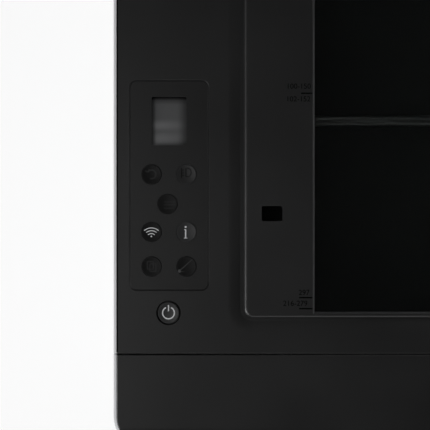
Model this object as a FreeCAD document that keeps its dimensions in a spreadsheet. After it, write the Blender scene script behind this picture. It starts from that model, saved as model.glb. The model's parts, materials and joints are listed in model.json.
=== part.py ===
"""Compact flatbed inkjet printer, scanner lid open: a parametric assembly in millimetres.

+X points to the printer's right, +Y to its back and +Z up. The origin lies on the table, under the
middle of the case. Every size is a cell of the Sizes sheet, and each piece is bound to those cells.
"""

import FreeCAD, Part
import math
import os
import re
import Sketcher
from FreeCAD import Placement, Rotation, Vector

doc = FreeCAD.newDocument("printer")
sheet = doc.addObject("Spreadsheet::Sheet", "Sizes")

SIZES = {
    # Case: white base and walls, black top deck.
    "case_width": 450, "case_depth": 309.4, "corner_round": 16, "wall": 2.2, "floor_thick": 2.5,
    "foot_height": 4, "foot_radius": 8, "foot_inset": 34, "foot_bevel": 1, "base_top": 24,
    "base_round": 7, "seam_groove": 0.8, "rim_top": 141, "rim_width": 1.5, "rim_bevel": 0.5,
    "deck_top": 146, "deck_round": 0.8, "skirt_bottom": 129, "ledge_thick": 3, "ledge_width": 2.2,
    "fit_gap": 0.3, "run_gap": 0.05, "vent_width": 4, "vent_pitch": 10, "vent_bottom": 88, "vent_top": 108,
    # Front door above the paper opening, and the opening itself.
    "door_depth": 49.9, "door_bottom": 92.5, "door_gap": 0.5, "door_swing_round": 7, "swing_ease": 0.8,
    "door_pin": 2, "front_bevel": 10.5, "front_drop": 1.5, "opening_width": 256, "seam_gap": 0.6,
    "seam_round": 0.5, "arm_inset": 17, "arm_thick": 4, "arm_drop": 13, "post_front": 19, "post_thick": 6,
    "eye_half": 3, "boss_inset": 12, "boss_thick": 7,
    # Raised scanner bed with its window, the channel round it and the lid-tab slot.
    "bed_left": 69.4, "bed_right": 11, "bed_front": 69.3, "bed_back": 16.4, "bed_rise": 1.6,
    "bed_corner": 5, "bed_edge": 1.7, "channel_width": 8.5, "channel_right": 6, "channel_depth": 1.1,
    "channel_slope": 6.5, "window_left": 106.8, "window_width": 298.5, "window_front": 72.4,
    "window_depth": 217.6, "window_edge": 1, "glass_thick": 3, "glass_lap": 2, "slot_left": 78.7,
    "slot_width": 11.1, "slot_front": 120.3, "slot_depth": 8.2, "slot_corner": 1,
    # Control panel on the left of the deck.
    "panel_centre": 29.7, "panel_width": 41.5, "panel_front": 84, "panel_length": 110.8,
    "panel_thick": 1.6, "panel_round": 3.7, "panel_lip": 2.5, "panel_edge": 0.35, "display_width": 18.5,
    "display_length": 25.7, "display_back": 8.5, "display_corner": 0.8, "display_frame": 2,
    "display_thick": 1.8, "key_radius": 5.15, "key_gap": 0.3, "key_pitch": 18.5, "key_row_a": 61.2,
    "key_row_b": 45.5, "key_row_c": 30.7, "key_row_d": 12.4, "key_travel": 0.6, "key_dish": 38,
    "key_rim": 0.35, "key_flange": 0.9, "power_front": 71.8, "power_radius": 5.45, "power_gap": 0.65,
    "switch_half": 3, "switch_height": 3.4, "switch_top": 138, "board_thick": 1.6, "board_half": 19,
    # Lid, its hinges and its pad.
    "lid_left": 63, "lid_right": 4.5, "lid_front": 51.9, "lid_thick": 11.7, "lid_wall": 2.2,
    "lid_corner": 9, "lid_edge": 3, "lid_open": 92, "hinge_back": 10, "hinge_pin": 2.5, "hinge_half": 5,
    "hinge_width": 16, "hinge_room": 6, "hinge_left": 110, "hinge_right": 350, "pin_reach": 7,
    "pad_margin": 5, "pad_corner": 2, "tab_inset": 2,
    # Scanner unit under the glass.
    "tub_left": 67, "tub_right": 10.5, "tub_front": 58.4, "tub_back": 9.5, "tub_bottom": 116, "tub_wall": 2,
    "scan_rod_radius": 3, "scan_rod_y": 20, "scan_rod_z": 123.5, "sensor_width": 18, "sensor_height": 11.5,
    "sensor_slope": 3, "lens_width": 2, "sensor_home": 193, "scan_belt_y": 100, "scan_belt_z": 120,
    "scan_pulley_x": -146, "scan_idler_x": 203, "scan_motor_radius": 12, "scan_motor_length": 12,
    "belt_radius": 5.5, "belt_thick": 1.2, "belt_width": 5, "belt_play": 0.4, "flange": 0.8,
    "pulley_rim": 0.5,
    # Print engine: steel frame, carriage and its drive.
    "frame_half": 190, "frame_thick": 1.2, "frame_front": -66, "frame_back": 128, "frame_top": 110,
    "frame_foot": 12, "foot_length": 20, "rail_y": 58, "rail_bottom": 64, "rail_lip": 12, "rod_radius": 4,
    "rod_y": 44, "rod_z": 86, "drive_belt_y": 50.5, "drive_belt_z": 92, "drive_pulley_x": 172,
    "motor_hole": 4, "motor_radius": 14, "motor_length": 22, "motor_bevel": 1.5,
    "motor_boss": 5, "boss_rise": 2, "carriage_width": 66, "carriage_home": 150, "carriage_front": -42,
    "carriage_back": 34, "carriage_bottom": 60, "carriage_top": 104, "carriage_rib": 1, "bay_width": 27,
    "bay_gap": 3, "bay_back": 29, "bay_front": -36, "head_front": 32, "cartridge_gap": 0.4,
    # Paper path.
    "paper_z": 56, "paper_half": 112, "feed_y": 40, "roller_z": 48, "roller_radius": 8, "shaft_radius": 4,
    "pick_y": 104, "pick_z": 36, "pick_radius": 20, "gear_module": 1.5, "gear_left": -199, "gear_width": 6,
    "gear_rim": 3, "gear_hub": 3, "gear_pocket": 2, "feed_teeth": 32, "idler_teeth": 28, "pinion_teeth": 12,
    "motor_angle": -22.5, "pinch_radius": 4, "pinch_half": 14, "pinch_arm": 3, "star_radius": 6,
    "star_axle": 1, "star_half": 4, "star_bar_half": 7, "axle_radius": 1.5, "turn_gap": 2.5,
    "turn_thick": 2, "turn_rib": 1.2, "platen_drop": 8, "shelf_top": 42, "shelf_thick": 2.5,
    "shelf_front": 2.6, "shelf_back": -66, "shelf_rib": 1, "extender_half": 60, "extender_length": 80,
    "extender_thick": 2.5, "extender_rail": 1.5, "tray_half": 125, "tray_thick": 3, "tray_top": 38,
    "tray_gap": 0.4, "tray_rib": 2, "tray_notch": 22, "notch_depth": 6, "tray_axis_y": 3.5,
    "tray_axis_z": 10.5, "tray_pin": 2, "lug_half": 4, "guide_front": -120, "guide_back": 10,
    "guide_half": 105.3, "guide_height": 22, "guide_thick": 2, "guide_lead": 8, "rib_top": 8,
    "lift_half": 98, "lift_front": 20, "lift_back": 116, "lift_z": 9.4, "lift_thick": 1.6,
    # Service station, boards and sockets.
    "station_left": 113.5, "station_right": 187, "station_front": -36, "station_back": 32,
    "station_top": 48, "station_wall": 2, "wiper_thick": 1.2, "main_board_z": 72, "usb_centre": 156,
    "usb_width": 12, "usb_height": 11, "usb_wall": 1.5, "inlet_centre": -110, "inlet_width": 22,
    "inlet_height": 14, "inlet_round": 6.5, "inlet_wall": 2.5, "inlet_z": 82, "well_depth": 10,
    "plate_margin": 12, "plate_lap": 3, "plate_thick": 1.6,
}
for row, (alias, number) in enumerate(SIZES.items(), start=1):
    sheet.set(f"A{row}", alias)
    sheet.set(f"B{row}", str(number))
    sheet.setAlias(f"B{row}", alias)
doc.recompute()

nodes = []


def bound(text):
    """An expression in which every size's name refers to its cell."""
    return re.sub(r"[A-Za-z_]\w*", lambda m: f"Sizes.{m[0]}" if m[0] in SIZES else m[0], str(text))


def value(text):
    """What an expression comes to, in millimetres."""
    return float(sheet.evalExpression(bound(text)))


def node(made, label):
    """Names a finished piece: its label is its file's name."""
    made.Label = label
    nodes.append(made)
    return made


# Places that many pieces share

LEFT, RIGHT = "-case_width/2", "case_width/2"
FRONT, BACK = "-case_depth/2", "case_depth/2"
SEAM = f"{FRONT} + door_depth"
DOOR_AXIS = (f"{FRONT} + door_swing_round", "door_bottom + door_swing_round")
BED_TOP = "deck_top + bed_rise"
DECK_UNDER = "deck_top - wall"
GLASS_TOP = "deck_top"
PANEL_X = f"{LEFT} + panel_centre"
PANEL_UNDER = "deck_top - panel_thick"
LID_BOTTOM = "deck_top + fit_gap"
LID_AXIS = (f"{BACK} - hinge_back", f"{LID_BOTTOM} + lid_thick/2")
FLOOR = "foot_height + floor_thick"
TRAY_AXIS = (f"{FRONT} + tray_axis_y", "tray_axis_z")
OUTPUT_Y = "feed_y - gear_module*(feed_teeth + idler_teeth)"
MOTOR_REACH = "gear_module*(feed_teeth + pinion_teeth)/2"
MOTOR_Y = f"feed_y + ({MOTOR_REACH})*cos(motor_angle)"
MOTOR_Z = f"roller_z + ({MOTOR_REACH})*sin(motor_angle)"


# Shapes: solids whose sizes and places are expressions


TURN = {
    "x": Rotation(Vector(0, 1, 0), 90),
    "y": Rotation(Vector(1, 0, 0), -90),
    "z": Rotation(),
}


def put(made, place):
    """Binds an object's place to three expressions."""
    for axis, text in zip("xyz", place):
        made.setExpression(f"Placement.Base.{axis}", bound(text))
    return made


def box(x, y, z):
    """A block between two expressions on each axis."""
    made = doc.addObject("Part::Box", "block")
    for name, (low, high) in zip(("Length", "Width", "Height"), (x, y, z)):
        made.setExpression(name, bound(f"({high}) - ({low})"))
    return put(made, (x[0], y[0], z[0]))


def rod(axis, span, across, radius):
    """A round bar along an axis, between two expressions, at a point of the other two axes."""
    made = doc.addObject("Part::Cylinder", "bar")
    made.Placement = Placement(Vector(), TURN[axis])
    made.setExpression("Height", bound(f"({span[1]}) - ({span[0]})"))
    made.setExpression("Radius", bound(radius))
    place = list(across)
    place.insert("xyz".index(axis), span[0])
    return put(made, place)


def join(*pieces):
    made = doc.addObject("Part::MultiFuse", "joined")
    made.Shapes = list(pieces)
    made.Refine = True
    return made


def carve(base, *tools):
    made = doc.addObject("Part::Cut", "carved")
    made.Base = base
    made.Tool = tools[0] if len(tools) == 1 else join(*tools)
    made.Refine = True
    return made


def overlap(first, second):
    made = doc.addObject("Part::Common", "shared")
    made.Base, made.Tool = first, second
    made.Refine = True
    return made


def group(*pieces):
    """Several separate solids kept as one piece."""
    made = doc.addObject("Part::Compound", "group")
    made.Links = list(pieces)
    return made


PLANES = {"XY": "XY_Plane", "XZ": "XZ_Plane", "YZ": "YZ_Plane"}


def sketch_on(body, plane, points, lift="0"):
    """A closed outline of straight lines on one of the body's planes, every corner held by expressions."""
    sketch = body.newObject("Sketcher::SketchObject", "outline")
    support = next(o for o in body.Origin.OriginFeatures if o.Role == PLANES[plane])
    sketch.AttachmentSupport = [(support, "")]
    sketch.MapMode = "FlatFace"
    sketch.setExpression("AttachmentOffset.Base.z", bound(lift))
    spots = [Vector(value(p[0]), value(p[1]), 0) for p in points]
    count = len(points)
    sketch.addGeometry([Part.LineSegment(spots[i], spots[(i + 1) % count]) for i in range(count)], False)
    for i in range(count):
        sketch.addConstraint(Sketcher.Constraint("Coincident", i, 2, (i + 1) % count, 1))
    for i, point in enumerate(points):
        for kind, text, start in zip(("DistanceX", "DistanceY"), point, spots[i]):
            held = sketch.addConstraint(Sketcher.Constraint(kind, -1, 1, i, 1, start))
            sketch.setExpression(f"Constraints[{held}]", bound(text))
    return sketch


def round_edges(body, radius, chosen):
    """Rounds the edges of a body's newest feature that the test picks."""
    doc.recompute()
    last = body.Tip
    names = [f"Edge{i}" for i, e in enumerate(last.Shape.Edges, start=1) if chosen(e)]
    made = body.newObject("PartDesign::Fillet", "rounding")
    made.Base = (last, names)
    made.setExpression("Radius", bound(radius))
    return body


def slope_edges(body, along, down, chosen):
    """Bevels the picked edges by one distance along the floor and another up the side."""
    doc.recompute()
    last = body.Tip
    names = [f"Edge{i}" for i, e in enumerate(last.Shape.Edges, start=1) if chosen(e)]
    made = body.newObject("PartDesign::Chamfer", "slope")
    made.Base = (last, names)
    made.ChamferType = "Two distances"
    made.setExpression("Size", bound(down))
    made.setExpression("Size2", bound(along))
    return body


def bevel(piece, size, chosen):
    """Breaks the picked edges of a carved piece at 45 degrees."""
    doc.recompute()
    reach = value(size)
    made = doc.addObject("Part::Chamfer", "broken_edges")
    made.Base = piece
    made.Edges = [(i, reach, reach) for i, e in enumerate(piece.Shape.Edges, start=1) if chosen(e)]
    return made


def prism(plane, points, low, high):
    """An outline padded along the plane's normal. A point is (u, v) or (u, v, corner radius)."""
    body = doc.addObject("PartDesign::Body", "body")
    lift = f"-({high})" if plane == "XZ" else low
    pad = body.newObject("PartDesign::Pad", "pad")
    pad.Profile = sketch_on(body, plane, points, lift)
    pad.setExpression("Length", bound(f"({high}) - ({low})"))
    first, second = ("xyz".index(letter.lower()) for letter in plane)
    for radius in dict.fromkeys(p[2] for p in points if len(p) > 2):
        spots = [(value(p[0]), value(p[1])) for p in points if p[2:] == (radius,)]

        def at_corner(edge):
            ends = [v.Point for v in edge.Vertexes]
            return len(ends) == 2 and any(
                all(math.dist((e[first], e[second]), spot) < 1e-4 for e in ends) for spot in spots
            )

        round_edges(body, radius, at_corner)
    return body


def slab(x, y, z, corner):
    """A plate with its four upright edges rounded alike."""
    points = [(x[0], y[0], corner), (x[1], y[0], corner), (x[1], y[1], corner), (x[0], y[1], corner)]
    return prism("XY", points, *z)


def case_slab(inset, z):
    """The case's own outline, drawn in by an inset."""
    return slab(
        (f"{LEFT} + {inset}", f"{RIGHT} - {inset}"),
        (f"{FRONT} + {inset}", f"{BACK} - {inset}"),
        z,
        f"corner_round - ({inset})",
    )


def lies_at(height):
    """A test for edges that lie flat at one height."""
    level = value(height)
    return lambda edge: all(abs(v.Z - level) < 1e-4 for v in edge.Vertexes)


def lies_within(x, y, height):
    """A test for edges that lie flat at one height, inside a rectangle."""
    level = value(height)
    low, high = [value(x[0]), value(y[0])], [value(x[1]), value(y[1])]

    def inside(point):
        return abs(point.z - level) < 1e-4 and all(
            a - 1e-4 < p < b + 1e-4 for a, p, b in zip(low, (point.x, point.y), high)
        )

    return lambda edge: all(inside(v.Point) for v in edge.Vertexes)


def turned(axis, place, profile):
    """A turned piece: (along the axis, radius) corners spun about an axis through a place."""
    body = doc.addObject("PartDesign::Body", "turned")
    spin = body.newObject("PartDesign::Revolution", "spin")
    spin.Profile = sketch_on(body, "XZ", [(radius, along) for along, radius in profile])
    spin.ReferenceAxis = (spin.Profile[0], ["V_Axis"])
    spin.Angle = 360
    body.Placement = Placement(Vector(), TURN[axis])
    return put(body, place)


def mesh_turn(teeth, other, other_turn, angle):
    """How far a gear turns, in degrees, so that its gap meets the other's tooth between their centres.

    The angle is the direction from the other gear to this one in the YZ plane. Every gear has a tooth
    that points down before it is turned.
    """
    teeth, other = value(teeth), value(other)
    step = 360 / other
    off = (270 + other_turn - angle + step / 2) % step - step / 2
    gap = angle + 180 - off * other / teeth
    return (gap + 180 / teeth - 270) % (360 / teeth)


def toothed(axis_x, y, z, teeth, width, turn=0.0):
    """A spur gear about the X axis: a root disc and one straight-flanked tooth, repeated round it."""
    body = doc.addObject("PartDesign::Body", "gear")
    pitch = f"gear_module*{teeth}/2"
    root, tip = f"({pitch} - 1.25*gear_module)", f"({pitch} + 0.8*gear_module)"
    disc = body.newObject("PartDesign::AdditiveCylinder", "disc")
    disc.setExpression("Radius", bound(root))
    disc.setExpression("Height", bound(width))
    half_root, half_tip = "0.98*gear_module", "0.36*gear_module"
    tooth = body.newObject("PartDesign::Pad", "tooth")
    tooth.Profile = sketch_on(
        body,
        "XY",
        [
            (f"{root} - 0.5*gear_module", f"-({half_root})"),
            (tip, f"-({half_tip})"),
            (tip, half_tip),
            (f"{root} - 0.5*gear_module", half_root),
        ],
    )
    tooth.setExpression("Length", bound(width))
    ring = body.newObject("PartDesign::PolarPattern", "teeth")
    ring.Originals = [tooth]
    ring.Axis = (next(o for o in body.Origin.OriginFeatures if o.Role == "Z_Axis"), [""])
    ring.Angle = 360
    ring.setExpression("Occurrences", bound(teeth))
    body.Tip = ring
    body.Placement = Placement(Vector(), Rotation(Vector(1, 0, 0), turn).multiply(TURN["x"]))
    return put(body, (axis_x, y, z))


def lightened(gear, teeth, place, hub):
    """A gear with a ring-shaped pocket in its outer face, between its hub and its rim."""
    rim = f"gear_module*{teeth}/2 - 1.25*gear_module - gear_rim"
    span = ("gear_left - 1", "gear_left + gear_pocket")
    return carve(gear, carve(rod("x", span, place, rim), rod("x", grown(span, "1"), place, hub)))


def motor(axis, place, facing, can, length, shaft):
    """A motor whose mounting face lies at a place: can, bearing boss and shaft, turned in one piece.

    The can reaches along the axis by facing times its length, and the shaft the other way.
    """
    profile = [
        (f"-({shaft})", "0"), (f"-({shaft})", "axle_radius"), ("0", "axle_radius"), ("0", can),
        (f"{length} - motor_bevel", can), (length, f"{can} - motor_bevel"), (length, "motor_boss"),
        (f"{length} + boss_rise", "motor_boss"), (f"{length} + boss_rise", "0"),
    ]
    return turned(axis, place, [(f"{facing}*({along})", radius) for along, radius in profile])


def pulley(axis, place, bore):
    """A belt pulley on a pin, with a flange on its near side."""
    rim, groove = "belt_radius + belt_thick + pulley_rim", "belt_radius - fit_gap"
    end = "belt_width + 2*flange"
    profile = [("0", bore), ("0", rim), ("flange", rim), ("flange", groove), (end, groove), (end, bore)]
    return turned(axis, place, profile)


def belt(axis, ends, centre, span):
    """A flat belt along X round two pulleys whose pins lie along an axis."""
    rings = []
    for radius, reach in (("belt_radius + belt_thick", "0"), ("belt_radius", "1")):
        across, along = grown((centre, centre), radius), grown(span, reach)
        sides = (across, along) if axis == "z" else (along, across)
        rounds = [rod(axis, along, (end, centre), radius) for end in ends]
        rings.append(join(box(ends, *sides), *rounds))
    return carve(*rings)


def grown(span, by):
    """A span made longer at both ends."""
    return (f"{span[0]} - ({by})", f"{span[1]} + ({by})")


def mirrored(near, far):
    """A span on the left or on the right: both, from one distance to another off the middle."""
    return [(f"-({far})", f"-({near})"), (near, far)]


# Base, feet and outer case

ALL_X = (f"{LEFT} - 1", f"{RIGHT} + 1")
OPEN_X = ("-opening_width/2", "opening_width/2")
RIB_XS = (-96, -56, -16, 24, 64)
TRAY_WAY = "tray_half + 2*fit_gap"
LIFT_YZ = ("lift_front", "lift_z + lift_thick/2")
LUG_Z = ("foot_height + 1", "tray_axis_z + lug_half")


def side_fin(span, low):
    """A paper guide's upright fin, with a slanted lead-in at each end."""
    outline = [
        ("guide_front", low), ("guide_back", low),
        ("guide_back - guide_lead", "guide_height"), ("guide_front + guide_lead", "guide_height"),
    ]
    return prism("YZ", outline, *span)


base = case_slab("0", ("foot_height", "base_top"))
round_edges(base, "base_round", lies_at("foot_height"))
slope_edges(base, "seam_groove", "seam_groove", lies_at("base_top"))
hollow = case_slab("wall", (FLOOR, "base_top + 1"))
AT_FRONT = (f"{FRONT} - 1", f"{FRONT} + 2*wall")
tray_way = box((f"-({TRAY_WAY})", TRAY_WAY), AT_FRONT, (FLOOR, "base_top + 1"))
RIB_Y = ("guide_front - 20", "lift_front - 8")
ribs = [box((x - 1, x + 1), RIB_Y, ("foot_height + 1", "rib_top")) for x in RIB_XS]
fence = side_fin(("guide_half", "guide_half + guide_thick"), "foot_height + 1")
lugs = []
pin_bores = []
for span in mirrored(TRAY_WAY, "tray_half + 7"):
    lugs.append(box(span, (f"{FRONT} + wall/2", f"{TRAY_AXIS[0]} + lug_half"), LUG_Z))
    pin_bores.append(rod("x", span, TRAY_AXIS, "tray_pin + run_gap"))
for span in mirrored("lift_half + fit_gap", "lift_half + lug_half"):
    lift_lug_y = grown(("lift_front", "lift_front"), "lug_half")
    lugs.append(box(span, lift_lug_y, ("foot_height + 1", "lift_z + 3.5")))
    pin_bores.append(rod("x", grown(span, "1"), LIFT_YZ, "axle_radius + run_gap"))
node(carve(join(carve(base, hollow, tray_way), fence, *ribs, *lugs), *pin_bores), "base_tray")

FOOT_PROFILE = [
    ("0", "0"), ("0", "foot_radius - foot_bevel"), ("foot_bevel", "foot_radius"),
    ("foot_height", "foot_radius"), ("foot_height", "0"),
]
feet = [
    turned("z", (x, y, "0"), FOOT_PROFILE)
    for x in (f"{LEFT} + foot_inset", f"{RIGHT} - foot_inset")
    for y in (f"{FRONT} + foot_inset", f"{BACK} - foot_inset")
]
node(group(*feet), "rubber_feet")

LEDGE_Z = ("skirt_bottom - ledge_thick", "skirt_bottom")
LEDGE_END = 40
AT_BACK = (f"{BACK} - 2*wall", f"{BACK} + 1")
MAIN_TOP = "main_board_z + board_thick"
USB_X = ("usb_centre - usb_width/2", "usb_centre + usb_width/2")
USB_Z = (MAIN_TOP, f"{MAIN_TOP} + usb_height")
INLET_X = ("inlet_centre - inlet_width/2", "inlet_centre + inlet_width/2")
INLET_Z = ("inlet_z - inlet_height/2", "inlet_z + inlet_height/2")
VENTS = range(-4, 8)


def inlet_form(by, y):
    """The mains inlet's long outline with round ends, made wider or narrower all round."""
    corner = f"inlet_round + {by}"
    left, right = ((x, corner) for x in grown(INLET_X, by))
    low, high = grown(INLET_Z, by)
    corners = ((left, low), (right, low), (right, high), (left, high))
    return prism("XZ", [(x, z, radius) for (x, radius), z in corners], *y)


def socket_plate(x, z, way):
    """A plate round a socket: a step that fills a window in the rear wall, on a flange inside the wall."""
    flange_y = (f"{BACK} - wall - plate_thick", f"{BACK} - wall")
    flange = box(grown(x, "plate_margin + plate_lap"), flange_y, grown(z, "plate_margin + plate_lap"))
    step_y = (flange_y[0], BACK)
    step = box(grown(x, "plate_margin - fit_gap"), step_y, grown(z, "plate_margin - fit_gap"))
    return carve(join(flange, step), way)


shell = case_slab("0", ("base_top", "rim_top"))
slope_edges(shell, "rim_bevel", "rim_bevel", lies_at("rim_top"))
inside = case_slab("wall", ("base_top - 1", "skirt_bottom"))
rabbet = case_slab("rim_width", ("skirt_bottom", "rim_top + 1"))
ledges = [
    box(span, (f"{SEAM} + 20", f"{BACK} - corner_round"), LEDGE_Z)
    for span in mirrored(f"{RIGHT} - wall - ledge_width", f"{RIGHT} - wall/2")
]
back_ledge = (f"{BACK} - wall - ledge_width", f"{BACK} - wall/2")
ledges.append(box((f"{LEFT} + {LEDGE_END}", f"{RIGHT} - {LEDGE_END}"), back_ledge, LEDGE_Z))
above_door = box(ALL_X, (f"{FRONT} - 1", SEAM), ("door_bottom - door_gap", "rim_top + 1"))
paper_way = box(OPEN_X, AT_FRONT, ("base_top - 1", "door_bottom"))
usb_way = box(grown(USB_X, "fit_gap"), AT_BACK, grown(USB_Z, "fit_gap"))
inlet_way = inlet_form("fit_gap", AT_BACK)
SOCKETS = ((USB_X, USB_Z, usb_way), (INLET_X, INLET_Z, inlet_way))
windows = [box(grown(x, "plate_margin"), AT_BACK, grown(z, "plate_margin")) for x, z, _ in SOCKETS]
VENT_Z = ("vent_bottom", "vent_top")
vents = [box((f"vent_pitch*{i}", f"vent_pitch*{i} + vent_width"), AT_BACK, VENT_Z) for i in VENTS]
arms = []
EYE_Z = grown((DOOR_AXIS[1], DOOR_AXIS[1]), "eye_half")
POST_Y = (f"{FRONT} + post_front", f"{FRONT} + post_front + post_thick")
POST_FOOT = "door_bottom - arm_drop"
ARM_IN = f"{RIGHT} - arm_inset"
for span in mirrored(ARM_IN, f"{RIGHT} - wall/2"):
    arms.append(box(span, POST_Y, (POST_FOOT, "door_bottom - door_gap")))
for span in mirrored(ARM_IN, f"{ARM_IN} + arm_thick"):
    post = box(span, POST_Y, (POST_FOOT, EYE_Z[1]))
    reach = box(span, (DOOR_AXIS[0], POST_Y[1]), EYE_Z)
    eye = rod("x", span, DOOR_AXIS, "door_swing_round - wall - 2*fit_gap")
    arms.append(carve(join(post, reach, eye), rod("x", grown(span, "1"), DOOR_AXIS, "door_pin + run_gap")))
walls = join(carve(shell, inside, rabbet), *ledges)
node(join(carve(walls, above_door, paper_way, *windows, *vents), *arms), "outer_case")
node(group(*(socket_plate(*socket) for socket in SOCKETS)), "socket_plates")


# Front door: a white band that carries the black cap

DOOR_BACK = f"{SEAM} - seam_gap/2"
swing = prism(
    "YZ",
    [
        (FRONT, "door_bottom", "door_swing_round"),
        (f"{DOOR_BACK} - swing_ease", "door_bottom"),
        (DOOR_BACK, DOOR_AXIS[1]),
        (DOOR_BACK, "deck_top + 1"),
        (FRONT, "deck_top + 1"),
    ],
    *ALL_X,
)
band_block = case_slab("0", ("door_bottom", "rim_top"))
slope_edges(band_block, "rim_bevel", "rim_bevel", lies_at("rim_top"))
band_hollow = case_slab("wall", ("door_bottom - 1", "skirt_bottom"))
band_rabbet = case_slab("rim_width", ("skirt_bottom", "rim_top + 1"))
band = carve(overlap(band_block, swing), band_hollow, band_rabbet)
BOSS_IN = f"{RIGHT} - boss_inset"
PIN_SPANS = mirrored(f"{ARM_IN} - 2", f"{BOSS_IN} + boss_thick/2")
pins = [rod("x", span, DOOR_AXIS, "door_pin") for span in PIN_SPANS]
for span in mirrored(BOSS_IN, f"{BOSS_IN} + boss_thick"):
    boss = box(span, (f"{FRONT} + wall/2", f"{DOOR_AXIS[0]} + eye_half"), EYE_Z)
    pins.append(overlap(boss, case_slab("wall/2", ("door_bottom", "rim_top"))))
node(join(band, *pins), "door_band")

CAP_INSET = "(rim_width + fit_gap)"
CAP_HOLLOW = "(rim_width + fit_gap + wall)"
cap_block = case_slab(CAP_INSET, ("skirt_bottom", "deck_top"))
round_edges(cap_block, "deck_round", lies_at("deck_top"))
before_seam = prism(
    "YZ",
    [
        (FRONT, "skirt_bottom"),
        (DOOR_BACK, "skirt_bottom"),
        (DOOR_BACK, "deck_top", "seam_round"),
        (f"{FRONT} + front_bevel", "deck_top"),
        (FRONT, "deck_top - front_drop"),
    ],
    *ALL_X,
)
cap = overlap(cap_block, before_seam)
node(carve(cap, case_slab(CAP_HOLLOW, ("skirt_bottom - 1", DECK_UNDER))), "door_cap")


# Top cover: deck, raised bed, window, control recess, key hole

BED_X = (f"{LEFT} + bed_left", f"{RIGHT} - bed_right")
BED_Y = (f"{FRONT} + bed_front", f"{BACK} - bed_back")
COVER_FRONT = f"{SEAM} + seam_gap/2"
DECK_CUT = ("deck_top - 2*wall", "deck_top + 5")

deck_block = case_slab(CAP_INSET, ("skirt_bottom", "deck_top"))
round_edges(deck_block, "deck_round", lies_at("deck_top"))
behind_seam = prism(
    "YZ",
    [
        (COVER_FRONT, "skirt_bottom"),
        (f"{BACK} + 1", "skirt_bottom"),
        (f"{BACK} + 1", "deck_top"),
        (COVER_FRONT, "deck_top", "seam_round"),
    ],
    *ALL_X,
)
under = overlap(
    case_slab(CAP_HOLLOW, ("skirt_bottom - 1", DECK_UNDER)),
    box(ALL_X, (f"{COVER_FRONT} + wall", f"{BACK} + 1"), ("skirt_bottom - 2", "deck_top + 1")),
)
CHANNEL_X = (f"{BED_X[0]} - channel_width", f"{BED_X[1]} + channel_right")
CHANNEL_Y = (f"{BED_Y[0]} - channel_width", f"{BED_Y[1]} + fit_gap")
CHANNEL_FLOOR = "deck_top - channel_depth"
channel = slab(CHANNEL_X, CHANNEL_Y, (CHANNEL_FLOOR, "deck_top + 2"), "bed_corner + channel_width")
slope_edges(channel, "channel_slope", "channel_depth*0.98", lies_at(CHANNEL_FLOOR))
bed = slab(BED_X, BED_Y, (DECK_UNDER, BED_TOP), "bed_corner")
round_edges(bed, "bed_edge", lies_at(BED_TOP))
WINDOW_X = (f"{LEFT} + window_left", f"{LEFT} + window_left + window_width")
WINDOW_Y = (f"{FRONT} + window_front", f"{FRONT} + window_front + window_depth")
GLASS_X, GLASS_Y = grown(WINDOW_X, "glass_lap"), grown(WINDOW_Y, "glass_lap")
window = box(WINDOW_X, WINDOW_Y, DECK_CUT)
glass_seat = box(grown(GLASS_X, "fit_gap"), grown(GLASS_Y, "fit_gap"), (DECK_CUT[0], GLASS_TOP))
SLOT_X = (f"{LEFT} + slot_left", f"{LEFT} + slot_left + slot_width")
SLOT_Y = (f"{FRONT} + slot_front", f"{FRONT} + slot_front + slot_depth")
slot = slab(SLOT_X, SLOT_Y, DECK_CUT, "slot_corner")
PANEL_SPAN = (f"{PANEL_X} - panel_width/2", f"{PANEL_X} + panel_width/2")
PANEL_Y = (f"{FRONT} + panel_front", f"{FRONT} + panel_front + panel_length")
RECESS_X, RECESS_Y = grown(PANEL_SPAN, "fit_gap"), grown(PANEL_Y, "fit_gap")
recess = slab(RECESS_X, RECESS_Y, (PANEL_UNDER, "deck_top + 1"), "panel_round + fit_gap")
through = box(grown(PANEL_SPAN, "-panel_lip"), grown(PANEL_Y, "-panel_lip"), (DECK_CUT[0], "deck_top"))
POWER_XY = (f"{PANEL_X} - 0.3", f"{FRONT} + power_front")
power_hole = rod("z", DECK_CUT, POWER_XY, "power_radius + power_gap")
BOARD_X = grown((PANEL_X, PANEL_X), "board_half")
BOARD_Y = (f"{POWER_XY[1]} - 8", f"{PANEL_Y[1]} - 2")
BOARD_TOP = "switch_top - switch_height"
posts = [
    box(grown((x, x), "2"), grown((y, y), "2"), (BOARD_TOP, f"{DECK_UNDER} + wall/2"))
    for x in (f"{BOARD_X[0]} + 2", f"{BOARD_X[1]} - 2")
    for y in (f"{BOARD_Y[0]} + 2.5", f"{BOARD_Y[1]} + 2 + panel_lip")
]
deck = carve(overlap(deck_block, behind_seam), under, channel)
cover = carve(join(deck, bed, *posts), window, glass_seat, slot, recess, through, power_hole)
cover = bevel(cover, "window_edge", lies_within(WINDOW_X, WINDOW_Y, BED_TOP))
cover = bevel(cover, "panel_edge", lies_within(RECESS_X, RECESS_Y, "deck_top"))
node(cover, "top_cover")

node(box(GLASS_X, GLASS_Y, ("deck_top - glass_thick", GLASS_TOP)), "scanner_glass")


# Control panel: plate, display, key board and keys

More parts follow.
